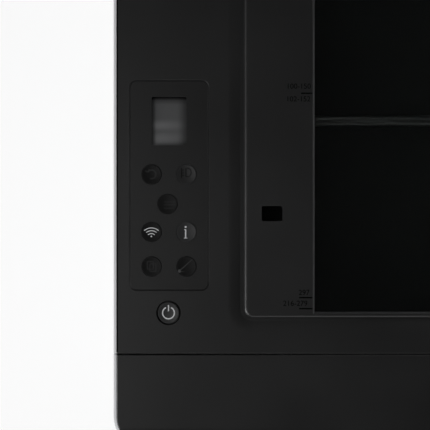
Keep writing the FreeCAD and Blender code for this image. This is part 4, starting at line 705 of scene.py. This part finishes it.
hollowed = finishes["deck_black"].copy()
hollowed.name = "hollowed_deck"
tree = hollowed.node_tree
spot = split(tree, place_of(tree))
depth = stretch(tree, spot["Z"], deck_top - CHANNEL_DEPTH, deck_top, CHANNEL_DEPTH, 0.0)
squared = sum_of(tree, "MULTIPLY", depth, depth)
rise = sum_of(tree, "MULTIPLY_ADD", squared, -HOLLOW / CHANNEL_DEPTH, depth)
in_channel = both(
    tree,
    over(tree, spot["X"], case_low.x + BED_LEFT - CHANNEL_WIDTH),
    over(tree, spot["Y"], -case_high.y + BED_FRONT - CHANNEL_WIDTH),
)
links = (("Strength", 1.0), ("Distance", 1.0), ("Height", both(tree, rise, in_channel)))
grain_bump = tree.nodes["Bump"]
tree.links.new(add(tree, "Bump", links).outputs["Normal"], grain_bump.inputs["Normal"])
finishes["top_cover"] = hollowed
print("deck", hollowed.name)

# %% [markdown]
# ## Every solid gets its finish
#
# The imported record says which finish each node has. Some nodes differ. The scanner's tub, carriage and rod
# are black so that no stray light reaches the sensor, the print carriage's rod is ground rather than
# plated, and three keys get a greyer black: painted reflection of the light their dishes catch.

# %% Assign finishes
# Painted reflection: greyer blacks for the keys whose dishes catch more light.
KEY_SHEEN_GREYS = {"key_plus": 0.0062, "key_info": 0.0105, "power_key": 0.013}
KEY_SHARES, KEY_ROUGH = (0.95, 1.1), (0.32, 0.40)
KEY_GRAIN, KEY_RUB = (3500.0, 0.03), (0.1, GREY_RUB)
for name, level in KEY_SHEEN_GREYS.items():
    shades = [grey(level * share) for share in KEY_SHARES]
    finishes[name] = plastic(name + "_finish", *shades, KEY_ROUGH, grain=KEY_GRAIN, rub=KEY_RUB)
OWN_FINISH = {
    "scanner_tub": "well_black",
    "scan_carriage": "well_black",
    "guide_rod": "ground_steel",
    "scan_rod": "ink_black",
}
slot_of = {row["node"]: row["material_slot"] for row in frame["record"]["subparts"]}
for name, solid in nodes.items():
    own = OWN_FINISH.get(name, name if name in finishes else slot_of[name])
    solid.data.materials.clear()
    solid.data.materials.append(finishes[own])
print("finished", len(nodes), "nodes")

# %% [markdown]
# ## Closed surfaces from grids
#
# Every added piece below is a grid of points: rows along a path, columns round a profile. The columns
# close on themselves. The rows either close too, as on a belt, or end in a cap. One function joins such
# grids into a mesh, turns the faces outwards and hangs the piece on the body that it moves with.

# %% Grids into pieces
def grid_faces(rows, columns, start, ring):
    """The faces of a grid closed across its columns, and along its rows too or else capped at both ends."""
    row, column = np.meshgrid(np.arange(rows if ring else rows - 1), np.arange(columns), indexing="ij")
    row_after, column_after = (row + 1) % rows, (column + 1) % columns
    corners = (
        row * columns + column,
        row * columns + column_after,
        row_after * columns + column_after,
        row_after * columns + column,
    )
    faces = (np.stack(corners, axis=-1).reshape(-1, 4) + start).tolist()
    if ring:
        return faces
    first = (np.arange(columns)[::-1] + start).tolist()
    last = (np.arange(columns) + (rows - 1) * columns + start).tolist()
    return faces + [first, last]


def grid_piece(name, grids, finish, body, ring=False):
    """One mesh from several closed grids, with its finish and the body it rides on."""
    faces, start = [], 0
    for grid in grids:
        rows, columns = grid.shape[:2]
        faces += grid_faces(rows, columns, start, ring)
        start += rows * columns
    mesh = bpy.data.meshes.new(name)
    mesh.from_pydata(np.concatenate([grid.reshape(-1, 3) for grid in grids]).tolist(), [], faces)
    outward = bmesh.new()
    outward.from_mesh(mesh)
    bmesh.ops.recalc_face_normals(outward, faces=outward.faces)
    outward.to_mesh(mesh)
    outward.free()
    mesh.materials.append(finish)
    made = bpy.data.objects.new(name, mesh)
    scene.collection.objects.link(made)
    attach(made, body)
    print(name, len(faces), "faces")
    return made


# %% [markdown]
# ## Bead round the control plate
#
# The plate is bedded in a soft bead that fills the gap to the deck, so its outline shows as a faint line,
# not as a dark crack. The bead is a low arch carried round a rounded rectangle: at each point, the corner's
# middle plus the radius along the outward direction.

# %% Bead
PLATE_GAP, PLATE_ROUND, BEAD_STEPS = 0.3 * MM, 3.7 * MM, 48
BEAD_OVERLAP, BEAD_DROP, BEAD_EDGE, BEAD_ROOT = 0.02 * MM, 0.07 * MM, 0.11 * MM, 0.6 * MM


def bead_grid(low, high):
    """A low arch carried round a rectangle with round corners, just outside it."""
    turn = (np.arange(BEAD_STEPS) + 0.5) / BEAD_STEPS * 2 * math.pi
    out = np.stack([np.cos(turn), np.sin(turn)], axis=1)
    middle, half = (low + high) / 2, (high - low) / 2 - PLATE_ROUND
    corner = middle + np.sign(out) * half
    reach = PLATE_ROUND + np.array([-BEAD_OVERLAP, -BEAD_OVERLAP, 0.5 * PLATE_GAP, PLATE_GAP, PLATE_GAP])
    reach[3:] += BEAD_OVERLAP
    plan = corner[:, None] + reach[None, :, None] * out[:, None]
    drop = np.array([BEAD_ROOT, BEAD_EDGE, BEAD_DROP, BEAD_EDGE, BEAD_ROOT])
    z = np.broadcast_to(deck_top - drop, plan.shape[:2])
    return np.concatenate([plan, z[..., None]], axis=2)


plate_box = [np.array(corner[:2]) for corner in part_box("control_plate")]
bead = bead_grid(*plate_box)
grid_piece("plate_bead", [bead], finishes["panel_black"], "printer", ring=True)

# %% [markdown]
# ## Painted shade strips along the deck's edges
#
# Along both sides, a dull black strip covers the deck's rounded edge where it meets the white rim: painted
# shade for the thin dark line that parts white from black. It is a quarter of a ring carried along Y: an
# arc on the outside of the edge and the same arc a little further in.

# %% Edge strips of painted shade
DECK_ROUND, STRIP_OUT, STRIP_IN = 0.8 * MM, 0.03 * MM, 0.1 * MM
REAR_CORNER, STRIP_STEPS = 16 * MM, 7
cover_low, cover_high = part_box("top_cover")


def edge_strip(edge_x, side):
    """A quarter ring round the deck's edge: radius times (cos, sin) from the rounding's own axis."""
    turn = np.linspace(0, math.pi / 2, STRIP_STEPS)
    turn = np.concatenate([turn, turn[::-1]])
    reach = DECK_ROUND + np.repeat([STRIP_OUT, -STRIP_IN], STRIP_STEPS)
    x = edge_x - side * DECK_ROUND + side * reach * np.cos(turn)
    z = deck_top - DECK_ROUND + reach * np.sin(turn)
    ends = np.array([cover_low.y + DECK_ROUND, cover_high.y - REAR_CORNER])
    return np.stack([np.column_stack([x, np.full_like(x, y), z]) for y in ends])


strips = [edge_strip(cover_low.x, -1), edge_strip(cover_high.x, 1)]
# Painted shade: a near-black strip where shade falls between the white rim and the deck.
gap_shade_black = plastic("gap_shade_black", grey(0.0008), grey(0.0012), (0.6, 0.7), 0.03)
grid_piece("deck_edge_shade", strips, gap_shade_black, "printer")

# %% [markdown]
# ## Ink strokes
#
# The signs on the keys are printed ink. Each is a stroke: a plan path with a width, carried over the
# key's dish so that it follows the hollow. The key top is part of a sphere, so the height at a distance r
# from the key's middle is the sphere's lowest point plus the sagitta of r.

# %% Strokes over a dish
DISH_RADIUS = 38 * MM
DISH_INSET = 0.35 * MM
KEY_RADIUS = 5.15 * MM
POWER_RADIUS = 5.45 * MM
INK_RISE = 0.025 * MM
INK_ROOT = 0.08 * MM
ARC_STEPS, LINE_STEPS, DOT_STEPS, DOT_TRIM = 25, 9, 17, 0.999


def key_top(name, radius):
    """A key's plan middle, and its height at a plan point: the sphere's centre less its drop there."""
    low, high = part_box(name)
    middle = np.array([low.x + high.x, low.y + high.y]) / 2
    rim = radius - DISH_INSET
    ball = high.z + math.sqrt(DISH_RADIUS**2 - rim**2)

    def height(plan):
        reach = np.minimum(np.linalg.norm(plan - middle, axis=-1), rim)
        return ball - np.sqrt(DISH_RADIUS**2 - reach**2)

    return middle, height


def ink_stroke(path, width, height):
    """Four points across at each step of a plan path: its two edges, on the ink and under it."""
    path = np.asarray(path, float)
    along = np.gradient(path, axis=0)
    along /= np.linalg.norm(along, axis=1, keepdims=True)
    side = np.stack([-along[:, 1], along[:, 0]], axis=1) * np.reshape(np.asarray(width) / 2, (-1, 1))
    left, right = path + side, path - side
    plan = np.stack([left, right, right, left], axis=1)
    z = height(plan) + np.array([INK_RISE, INK_RISE, -INK_ROOT, -INK_ROOT])
    return np.concatenate([plan, z[..., None]], axis=2)


def arc(centre, radius, start, stop, steps=ARC_STEPS):
    """Points round a centre between two angles in degrees, counted from straight up, clockwise."""
    turn = np.radians(np.linspace(start, stop, steps))
    return np.asarray(centre) + radius * np.stack([np.sin(turn), np.cos(turn)], axis=1)


def line(start, stop):
    """Points evenly spaced from one plan point to another."""
    t = np.linspace(0, 1, LINE_STEPS)[:, None]
    return np.asarray(start) * (1 - t) + np.asarray(stop) * t


def dot(centre, radius, height):
    """A disc: a stroke across it whose width at each step is the chord there, trimmed at both ends."""
    along = np.cos(np.linspace(math.pi, 0, DOT_STEPS)) * radius * DOT_TRIM
    path = np.asarray(centre) + np.stack([along, np.zeros(DOT_STEPS)], axis=1)
    return ink_stroke(path, 2 * np.sqrt(radius**2 - along**2), height)


# %% Inks
INK_GRAIN, INK_SHARES = (1800.0, 0.05), (0.9, 1.1)


def ink(name, level, roughness, specular=0.3):
    """Printed ink: two shades mixed by fine screen-print mottle."""
    shades = [grey(level * share) for share in INK_SHARES]
    return plastic(name, *shades, roughness, specular, INK_GRAIN)


# The pale ink of lit signs is painted glow, for their backlight.
lit_glow_ink = ink("lit_glow_ink", 0.45, (0.45, 0.55))
ink_dark = ink("ink_dark", 0.0012, (0.4, 0.5), 0.2)
ink_unlit = ink("ink_unlit", 0.0095, (0.45, 0.55))
ink_print = ink("ink_print", 0.0008, (0.25, 0.35), 0.06)
# The next two are painted glint on the stop key: a pale streak and a pale spot.
glint_faint_grey = ink("glint_faint_grey", 0.019, (0.5, 0.6))
glint_soft_grey = ink("glint_soft_grey", 0.042, (0.5, 0.6))
print("inks", INK_RISE / MM, "mm proud")

# %% [markdown]
# ## Wireless, information and power
#
# These three signs are lit when the printer is on, and that glow is painted as a pale ink: three arcs over a
# dot, a letter-like information mark with a foot and a flag, and a broken ring with a bar. All are common
# signs. The power key has a fine black ring of painted shade round its hole as well.

# %% Wireless
ARCS = ((5.6, 43), (4.12, 41), (2.6, 44))
ARC_LEFT, ARC_DROP, ARC_STROKE = 0.1 * MM, 3.45 * MM, 0.45 * MM
DOT_RISE, DOT_RADIUS = 1.12 * MM, 0.42 * MM

middle, height = key_top("key_wireless", KEY_RADIUS)
hub = middle - (ARC_LEFT, ARC_DROP)
waves = [ink_stroke(arc(hub, radius * MM, -half, half), ARC_STROKE, height) for radius, half in ARCS]
waves.append(dot(hub + (0, DOT_RISE), DOT_RADIUS, height))
grid_piece("sign_wireless", waves, lit_glow_ink, "key_wireless")

# %% Information
STEM_LEFT, STEM_TOP, STEM_FOOT = 0.45 * MM, 1.4 * MM, -3.45 * MM
STEM_WIDE, FLAG_WIDE, FOOT_WIDE = 0.68 * MM, 0.38 * MM, 0.42 * MM
SERIF, SERIF_IN = 0.85 * MM, 0.2 * MM
POINT_RISE, POINT_RADIUS = 2.65 * MM, 0.56 * MM

middle, height = key_top("key_info", KEY_RADIUS)
stem_x = middle[0] - STEM_LEFT


def info_line(from_x, from_y, to_x, to_y, width):
    """A straight stroke given from the stem's middle."""
    start, stop = (stem_x + from_x, middle[1] + from_y), (stem_x + to_x, middle[1] + to_y)
    return ink_stroke(line(start, stop), width, height)


information = [
    info_line(0, STEM_TOP, 0, STEM_FOOT, STEM_WIDE),
    info_line(-SERIF, STEM_TOP - SERIF_IN, 0, STEM_TOP - SERIF_IN, FLAG_WIDE),
    info_line(-SERIF, STEM_FOOT + SERIF_IN, SERIF, STEM_FOOT + SERIF_IN, FOOT_WIDE),
    dot((stem_x, middle[1] + POINT_RISE), POINT_RADIUS, height),
]
grid_piece("sign_information", information, lit_glow_ink, "key_info")

# %% Power
RING_RADIUS, RING_BREAK, RING_STROKE, RING_STEPS = 3.12 * MM, 25, 0.66 * MM, 49
STICK_TOP, STICK_FOOT, STICK_STROKE = 4.2 * MM, 0.95 * MM, 0.64 * MM

middle, height = key_top("power_key", POWER_RADIUS)
ring = ink_stroke(arc(middle, RING_RADIUS, RING_BREAK, 360 - RING_BREAK, RING_STEPS), RING_STROKE, height)
stick = ink_stroke(line(middle + (0, STICK_TOP), middle + (0, STICK_FOOT)), STICK_STROKE, height)
grid_piece("sign_power", [ring, stick], lit_glow_ink, "power_key")

# %% Black ring of painted shade round the power key
HOLE_RADIUS, GAP_SHADE_WIDTH, GAP_SHADE_STEPS = 6.1 * MM, 0.4 * MM, 97


def on_deck(plan):
    """The deck's flat top."""
    return np.full(plan.shape[:-1], deck_top)


# Painted shade: a black ring on the deck where the gap round the power key lies in shade.
gap_shade_ring = arc(middle, HOLE_RADIUS + GAP_SHADE_WIDTH / 2, 0, 360, GAP_SHADE_STEPS)[:-1]
around = ink_stroke(np.concatenate([gap_shade_ring[-1:], gap_shade_ring, gap_shade_ring[:1]]), GAP_SHADE_WIDTH, on_deck)[1:-1]
grid_piece("power_gap_shade", [around], ink_print, "printer", ring=True)

# %% [markdown]
# ## Unlit signs
#
# The other keys light up only when they can be used. Unlit, their signs are an ink only a little paler than
# the black key: a ring arrow, three bars, and two sheets. On the plus key, the page of lines beside a
# turned sheet is darker instead. On the stop key, a slash with a knob is a painted glint. Each sign is a
# list of strokes in millimetres from the key's middle.

# %% Strokes on a key
def strokes_on(key, strokes):
    """Straight strokes on a key: each has two ends and a width, in millimetres from the key's middle."""
    middle, height = key_top(key, KEY_RADIUS)
    made = []
    for start, stop, width in strokes:
        path = line(middle + np.array(start) * MM, middle + np.array(stop) * MM)
        made.append(ink_stroke(path, np.array(width) * MM, height))
    return made


def arc_on(key, centre, radius, start, stop, width):
    """A bent stroke on a key, in millimetres from the key's middle."""
    middle, height = key_top(key, KEY_RADIUS)
    return ink_stroke(arc(middle + np.array(centre) * MM, radius * MM, start, stop), width * MM, height)


# %% Back, pages, bars and sheets
TURN_BACK, TURNED_SHEET = ((0, 0), 2.3, -60, 200, 0.7), ((0.2, 1.05), 2.3, 0, 140, 0.6)
BARBS = [((-2.0, 1.2), (-3.4, 1.9), 0.6), ((-2.0, 1.2), (-1.1, 2.9), 0.6)]
PAGES = [
    ((-2.6, 3.3), (-2.6, -1.8), 0.6),
    ((-2.6, 2.3), (-1.2, 2.3), 0.5),
    ((-2.6, 0.8), (-1.2, 0.8), 0.5),
    ((-2.6, -0.6), (-1.2, -0.6), 0.5),
    ((-0.3, 3.3), (-0.3, -1.2), 0.6),
    ((-0.3, -1.2), (1.7, -1.2), 0.5),
]
BARS = [
    ((-1.9, 1.1), (4.1, 1.1), 0.42),
    ((-1.9, -0.45), (4.3, -0.45), 0.42),
    ((-1.9, -2.2), (3.7, -2.2), 0.42),
]
SHEET = np.array([(-1, -1.25), (1, -1.25), (1, 1.25), (-1, 1.25), (-1, -1.25)]) * 1.6
SHEET_SHIFTS, SHEET_STROKE = np.array([(-0.7, 0.6), (0.7, -0.6)]), 0.45
sheet_sides = [
    (start + shift, stop + shift, SHEET_STROKE)
    for shift in SHEET_SHIFTS
    for start, stop in zip(SHEET[:-1], SHEET[1:])
]

turn_back = arc_on("key_back", *TURN_BACK)
grid_piece("sign_back", [turn_back, *strokes_on("key_back", BARBS)], ink_unlit, "key_back")
turned_sheet = arc_on("key_plus", *TURNED_SHEET)
grid_piece("sign_pages", [turned_sheet, *strokes_on("key_plus", PAGES)], ink_dark, "key_plus")
grid_piece("sign_bars", strokes_on("key_minus", BARS), ink_unlit, "key_minus")
grid_piece("sign_copy", strokes_on("key_copy", sheet_sides), ink_unlit, "key_copy")

# %% Stop: a painted glint
SLASH = ((3.1, 3.8), (-3.9, -2.5), np.linspace(0.3, 0.62, LINE_STEPS))
TAIL = ((-3.6, -2.5), (-1.0, -2.9), np.linspace(0.6, 0.2, LINE_STEPS))
KNOB, KNOB_RADIUS = np.array([-3.75, -2.4]) * MM, 0.85 * MM

# Painted glint: a pale slash, tail and spot where light glints on the stop key's dish.
grid_piece("stop_glint_streak", strokes_on("key_stop", [SLASH, TAIL]), glint_faint_grey, "key_stop")
middle, height = key_top("key_stop", KEY_RADIUS)
knob = dot(middle + KNOB, KNOB_RADIUS, height)
grid_piece("stop_glint_spot", [knob], glint_soft_grey, "key_stop")

# %% [markdown]
# ## Size marks on the bed
#
# Along the glass the bed carries fine marks for the usual paper sizes: a tick at each size, with plain
# numbers in millimetres beside it, printed in a plain dull black. The numbers are text turned into a mesh,
# then moved to their place.

# %% Ticks
bed_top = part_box("top_cover")[1].z
TICK_PIXELS = ((93.5, 301.0, 312.4), (297.5, 299.0, 312.4), (308.5, 299.0, 312.4))
TICK_WIDTH = 0.75 * MM


def on_bed(plan):
    """The bed's flat top."""
    return np.full(plan.shape[:-1], bed_top)


ticks = [
    ink_stroke(line(at_pixel(left, row), at_pixel(right, row)), TICK_WIDTH, on_bed)
    for row, left, right in TICK_PIXELS
]
grid_piece("size_ticks", ticks, ink_print, "printer")

# %% Numbers
NUMBER_HEIGHT = 2.75 * MM
CAPITAL_SHARE = 0.7
INK_SPREAD = 0.015 * MM
NUMBER_PIXELS = (
    ("100-150", 310.8, 88.9),
    ("102-152", 310.5, 101.6),
    ("297", 309.5, 294.8),
    ("216-279", 307.5, 305.6),
)


def plain_number(name, text, right_px, base_px):
    """A number as a thin solid whose lower right corner stands at a pixel of the photograph."""
    curve = bpy.data.curves.new(name, "FONT")
    curve.body = text
    curve.align_x = "RIGHT"
    curve.size = NUMBER_HEIGHT / CAPITAL_SHARE
    curve.extrude = (INK_RISE + INK_ROOT) / 2
    curve.offset = INK_SPREAD
    writer = bpy.data.objects.new(name + "_text", curve)
    scene.collection.objects.link(writer)
    bpy.context.view_layer.update()
    mesh = bpy.data.meshes.new_from_object(writer.evaluated_get(bpy.context.evaluated_depsgraph_get()))
    bpy.data.objects.remove(writer)
    points = np.empty(len(mesh.vertices) * 3, np.float32)
    mesh.vertices.foreach_get("co", points)
    corner = (*at_pixel(right_px, base_px), bed_top + (INK_RISE - INK_ROOT) / 2)
    mesh.vertices.foreach_set("co", (points.reshape(-1, 3) + corner).ravel())
    mesh.materials.clear()
    mesh.materials.append(ink_print)
    made = bpy.data.objects.new(name, mesh)
    scene.collection.objects.link(made)
    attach(made, "printer")


for index, (text, right_px, base_px) in enumerate(NUMBER_PIXELS):
    plain_number(f"size_number_{index}", text, right_px, base_px)
print("size numbers", len(NUMBER_PIXELS))

# %% [markdown]
# ## Toothed belts
#
# Both drives use a fine-toothed belt, and the solid model has a smooth band in each one's place. A belt
# is a rectangle carried round two half circles and two straight runs. Its inner side steps in and out
# four times a tooth, so the teeth need no separate pieces. The band in the solid model is then hidden.

# %% Belts
TOOTH_PITCH = 2.032 * MM
TOOTH_DEPTH = 0.6 * MM
BELT_THICK = 1.2 * MM


def belt_grid(span, radius, thick, width):
    """Rows along a belt: two runs of a span joined by half circles, as (along, out, across) points.

    The path is measured at the teeth's roots. Each row has the two back corners at radius + thick, and
    the two tooth-side corners at the root or, for half of the pitch, at the tip.
    """
    root = radius + TOOTH_DEPTH
    half_turn = math.pi * root
    length = 2 * (span + half_turn)
    teeth = round(length / TOOTH_PITCH)
    s = (np.arange(4 * teeth) + 0.5) / (4 * teeth) * length
    turn = np.where(s < span, 0, np.clip((s - span) / half_turn, 0, 1)) * math.pi
    turn += np.clip((s - 2 * span - half_turn) / half_turn, 0, 1) * math.pi
    on_far_run = np.clip(s - span - half_turn, 0, span)
    middle = np.clip(s, 0, span) - on_far_run - span / 2
    out = np.stack([np.sin(turn), np.cos(turn)], axis=1)
    tip = np.tile([0.0, TOOTH_DEPTH, TOOTH_DEPTH, 0.0], teeth)
    back = np.full_like(s, radius + thick)
    reach = np.stack([root - tip, root - tip, back, back], axis=1)
    across = np.broadcast_to(width / 2 * np.array([-1, 1, 1, -1]), reach.shape)
    along = middle[:, None] + reach * out[:, :1]
    return np.stack([along, reach * out[:, 1:], across], axis=-1)


def toothed_belt(name, node, order, body):
    """A toothed belt that stands for a smooth one: the grid's three directions put in the node's order."""
    low, high = (np.array(corner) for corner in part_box(node))
    along, rise, across = order
    size = high - low
    outer = size[rise] / 2
    local = belt_grid(size[along] - 2 * outer, outer - BELT_THICK, BELT_THICK, size[across])
    grid = np.empty_like(local)
    grid[..., order] = local
    grid += (low + high) / 2
    piece = grid_piece(name, [grid], finishes["soft_rubber"], body, ring=True)
    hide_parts(node)


toothed_belt("toothed_carriage_belt", "carriage_belt", (0, 2, 1), "printer")
toothed_belt("toothed_scan_belt", "scan_belt", (0, 1, 2), "printer")

# %% [markdown]
# ## Screws
#
# A pan-head screw is a dome with a cross pressed into it. On a polar grid the dome is a parabola of the
# radius, and the cross is a step down wherever the point lies near either of two lines through the middle.

# %% Screw heads
SCREW_RADIUS, SCREW_HEIGHT = 2.7 * MM, 1.3 * MM
CROSS_HALF, CROSS_REACH, CROSS_DEPTH = 0.17, 0.62, 0.75
DOME_FALL, SIDE_TOP, SIDE_ROOT = 0.35, 0.35, -0.05
SCREW_RINGS, SCREW_SPOKES, SCREW_SPAN = 16, 48, (0.02, 0.95)


def screw_head(place, outward):
    """A domed disc with a cross cut into it, standing on a point and facing along one axis.

    Height over the seat is 1 - f r^2 of the head's height, f being the dome's fall, less the cross where
    the smaller of |x| and |y| is under the cross's half width and the larger is within its reach. The last
    two rings are the side: its top and its root, a little inside the seat.
    """
    r = np.concatenate([np.linspace(*SCREW_SPAN, SCREW_RINGS), [1.0, 1.0]])
    turn = np.linspace(0, 2 * math.pi, SCREW_SPOKES, endpoint=False)
    r, turn = np.meshgrid(r, turn, indexing="ij")
    x, y = r * np.cos(turn), r * np.sin(turn)
    near = np.minimum(np.abs(x), np.abs(y))
    far = np.maximum(np.abs(x), np.abs(y))
    cross = (near < CROSS_HALF) & (far < CROSS_REACH)
    z = 1 - DOME_FALL * r**2 - CROSS_DEPTH * cross
    z[-2:] = np.array([[SIDE_TOP], [SIDE_ROOT]])
    axis = np.asarray(outward, float)
    first = np.roll(axis, 1)
    second = np.cross(axis, first)
    plan = SCREW_RADIUS * (x[..., None] * first + y[..., None] * second)
    return np.asarray(place) + plan + SCREW_HEIGHT * z[..., None] * axis


# %% Screws in their places
SHEET_THICK, GEAR_TO_CHEEK, MOTOR_SCREW_OUT = 1.2 * MM, 1.8 * MM, 11 * MM

base_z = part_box("base_tray")[0].z
cheek_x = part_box("idler_gear")[1].x + GEAR_TO_CHEEK
foot_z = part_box("print_frame")[0].z + SHEET_THICK
motor = middle_of("feed_motor")
BASE_SCREWS = [(x * MM, y * MM, base_z) for x in (-205, 0, 205) for y in (-138, 138)]
FRAME_SCREWS = [(x * MM, y * MM, foot_z) for x in (-184, 184) for y in (-60, 122)]
MOTOR_SCREWS = [(cheek_x, motor.y + side * MOTOR_SCREW_OUT, motor.z) for side in (-1, 1)]
SCREW_ROWS = (
    ("base_screws", BASE_SCREWS, (0, 0, -1)),
    ("frame_screws", FRAME_SCREWS, (0, 0, 1)),
    ("motor_screws", MOTOR_SCREWS, (-1, 0, 0)),
)
for name, places, outward in SCREW_ROWS:
    heads = [screw_head(place, outward) for place in places]
    grid_piece(name, heads, finishes["screw_steel"], "printer")

# %% [markdown]
# ## Shaft clips
#
# Each shaft is kept in the frame by a clip of spring steel in a groove near its end: most of a ring, open
# at one side. It is a rectangle carried round an arc, and it turns with its shaft.

# %% Clips
CLIP_WIDE, CLIP_THICK, CLIP_OPEN = 2.2 * MM, 0.8 * MM, 50
GROOVE_DEPTH, CLIP_ROOM, CLIP_STEPS = 0.3 * MM, 0.3 * MM, 41
frame_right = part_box("print_frame")[1].x


def shaft_clip(x, axis, radius):
    """A rectangle carried round an arc about a shaft's axis: two radii, two places along X."""
    turn = np.radians(np.linspace(CLIP_OPEN, 360 - CLIP_OPEN, CLIP_STEPS))
    reach = radius - GROOVE_DEPTH + CLIP_WIDE * np.array([0, 1, 1, 0])
    along = x + CLIP_THICK * np.array([0, 0, 1, 1])
    y = axis.y + np.sin(turn)[:, None] * reach
    z = axis.z + np.cos(turn)[:, None] * reach
    return np.stack([np.broadcast_to(along, y.shape), y, z], axis=-1)


for roller in ("feed_roller", "output_roller", "pick_roller"):
    clip = shaft_clip(frame_right + CLIP_ROOM, middle_of(roller), SHAFT_RADIUS)
    grid_piece(roller.replace("roller", "clip"), [clip], finishes["screw_steel"], roller)

# %% [markdown]
# ## Socket and cartridge details
#
# The square data socket holds a tongue with four gilt contacts. The cartridges carry a plain paper label
# with colour bars. Tongue and contacts are bevelled bars: an eight-sided profile carried along an axis
# and drawn in at both ends. A label is a thin plate whose outline is a superellipse.

# %% Tongue
PROFILE_SIGNS = np.array([(-1, -1), (-1, -1), (1, -1), (1, -1), (1, 1), (1, 1), (-1, 1), (-1, 1)])
PROFILE_CUTS = np.array([(0, 1), (1, 0), (1, 0), (0, 1), (0, 1), (1, 0), (1, 0), (0, 1)])


def bevelled_bar(low, high, bevel):
    """A bar along Y: an eight-sided profile of X and Z, a bevel smaller at both ends."""
    low, high = np.asarray(low, float), np.asarray(high, float)
    half = (high - low)[[0, 2]] / 2
    y = np.array([low[1], low[1] + bevel, high[1] - bevel, high[1]])
    drawn_in = np.array([bevel, 0, 0, bevel])[:, None, None]
    profile = PROFILE_SIGNS * (half - drawn_in - bevel * PROFILE_CUTS)
    middle = (low + high)[[0, 2]] / 2
    plan = profile + middle
    return np.stack([plan[..., 0], np.broadcast_to(y[:, None], plan.shape[:2]), plan[..., 1]], axis=-1)


port, mouth_y = middle_of("usb_port"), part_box("usb_port")[1].y
TONGUE_HALF, TONGUE_THICK, TONGUE_BEVEL = 2.8 * MM, 1.5 * MM, 0.3 * MM
WELL_DEPTH, TONGUE_BACK = 10.2 * MM, 2.5 * MM
well_y, tongue_y = mouth_y - WELL_DEPTH, mouth_y - TONGUE_BACK
tongue = bevelled_bar(
    (port.x - TONGUE_HALF, well_y, port.z - TONGUE_THICK),
    (port.x + TONGUE_HALF, tongue_y, port.z + TONGUE_THICK),
    TONGUE_BEVEL,
)
grid_piece("usb_tongue", [tongue], finishes["gear_white"], "printer")

# %% Contacts
CONTACT_HALF = np.array([0.5, 0.0, 0.12]) * MM
CONTACT_OUT, CONTACT_RISE, CONTACT_BEVEL = 1.25 * MM, 0.03 * MM, 0.05 * MM
CONTACT_FROM, CONTACT_TO = well_y + 0.5 * MM, tongue_y - 1.2 * MM

contacts = []
for x in (port.x - CONTACT_OUT, port.x + CONTACT_OUT):
    for z in (port.z - TONGUE_THICK - CONTACT_RISE, port.z + TONGUE_THICK + CONTACT_RISE):
        start, stop = np.array([x, CONTACT_FROM, z]), np.array([x, CONTACT_TO, z])
        contacts.append(bevelled_bar(start - CONTACT_HALF, stop + CONTACT_HALF, CONTACT_BEVEL))
grid_piece("usb_contacts", contacts, finishes["contact_gold"], "printer")

# %% Cartridge labels
LABEL_POWER, LABEL_STEPS, LABEL_RISE = 10, 64, 0.12 * MM
PAPER_WHITES, PAPER_ROUGH, PAPER_BUMP = (grey(0.66), grey(0.72)), (0.5, 0.6), 0.04
PAPER = {"Grain_per_metre": 1200.0, "Cloud_per_metre": 60.0}
BLACK_BAR, BAR_ROUGH = (grey(0.012),), 0.45
COLOUR_BARS = ((0.02, 0.32, 0.55), (0.55, 0.03, 0.22), (0.80, 0.62, 0.03))


def label_grid(low, high, z):
    """A thin plate: the outline |x|^n + |y|^n = 1 stretched to a rectangle, at its root and its face."""
    turn = np.linspace(0, 2 * math.pi, LABEL_STEPS, endpoint=False)
    wave = np.stack([np.cos(turn), np.sin(turn)], axis=1)
    outline = np.sign(wave) * np.abs(wave) ** (2 / LABEL_POWER)
    low, high = np.asarray(low), np.asarray(high)
    plan = (low + high) / 2 + outline * (high - low) / 2
    rise = z + np.array([-LABEL_RISE, LABEL_RISE])
    return np.stack([np.column_stack([plan, np.full(len(plan), level)]) for level in rise])


def label_finish(name, low, high, bars):
    """White paper with bars of colour side by side along X, in the front third of the label."""
    made, tree, shader = bare_material(name)
    place = place_of(tree)
    spot = split(tree, place)
    mould = use_group(tree, moulded, place, **PAPER)
    paper = mix_colour(tree, mould["Cloud"], *PAPER_WHITES)
    front = under(tree, spot["Y"], low[1] + (high[1] - low[1]) / 3)
    edges_x = np.linspace(low[0], high[0], len(bars) + 1)
    layers = [
        (both(tree, front, over(tree, spot["X"], x0), under(tree, spot["X"], x1)), shade, BAR_ROUGH, 0.0)
        for shade, x0, x1 in zip(bars, edges_x[:-1], edges_x[1:])
    ]
    lay(tree, shader, (paper, stretch(tree, mould["Cloud"], 0, 1, *PAPER_ROUGH)), layers)
    add_bump(tree, shader, mould["Grain"], PAPER_BUMP, GRAIN_DEPTH)
    return made


SHOULDER_DROP, LABEL_INSET, LABEL_FRONT, LABEL_BACK = 5.6 * MM, 2.5 * MM, 16 * MM, 24 * MM
for name, bars in (("colour_cartridge", COLOUR_BARS), ("black_cartridge", BLACK_BAR)):
    low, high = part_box(name)
    corner_low = (low.x + LABEL_INSET, low.y + LABEL_FRONT)
    corner_high = (high.x - LABEL_INSET, high.y - LABEL_BACK)
    paper = label_finish(name + "_paper", corner_low, corner_high, bars)
    plate = label_grid(corner_low, corner_high, high.z - SHOULDER_DROP)
    grid_piece(name.replace("cartridge", "label"), [plate], paper, "carriage")
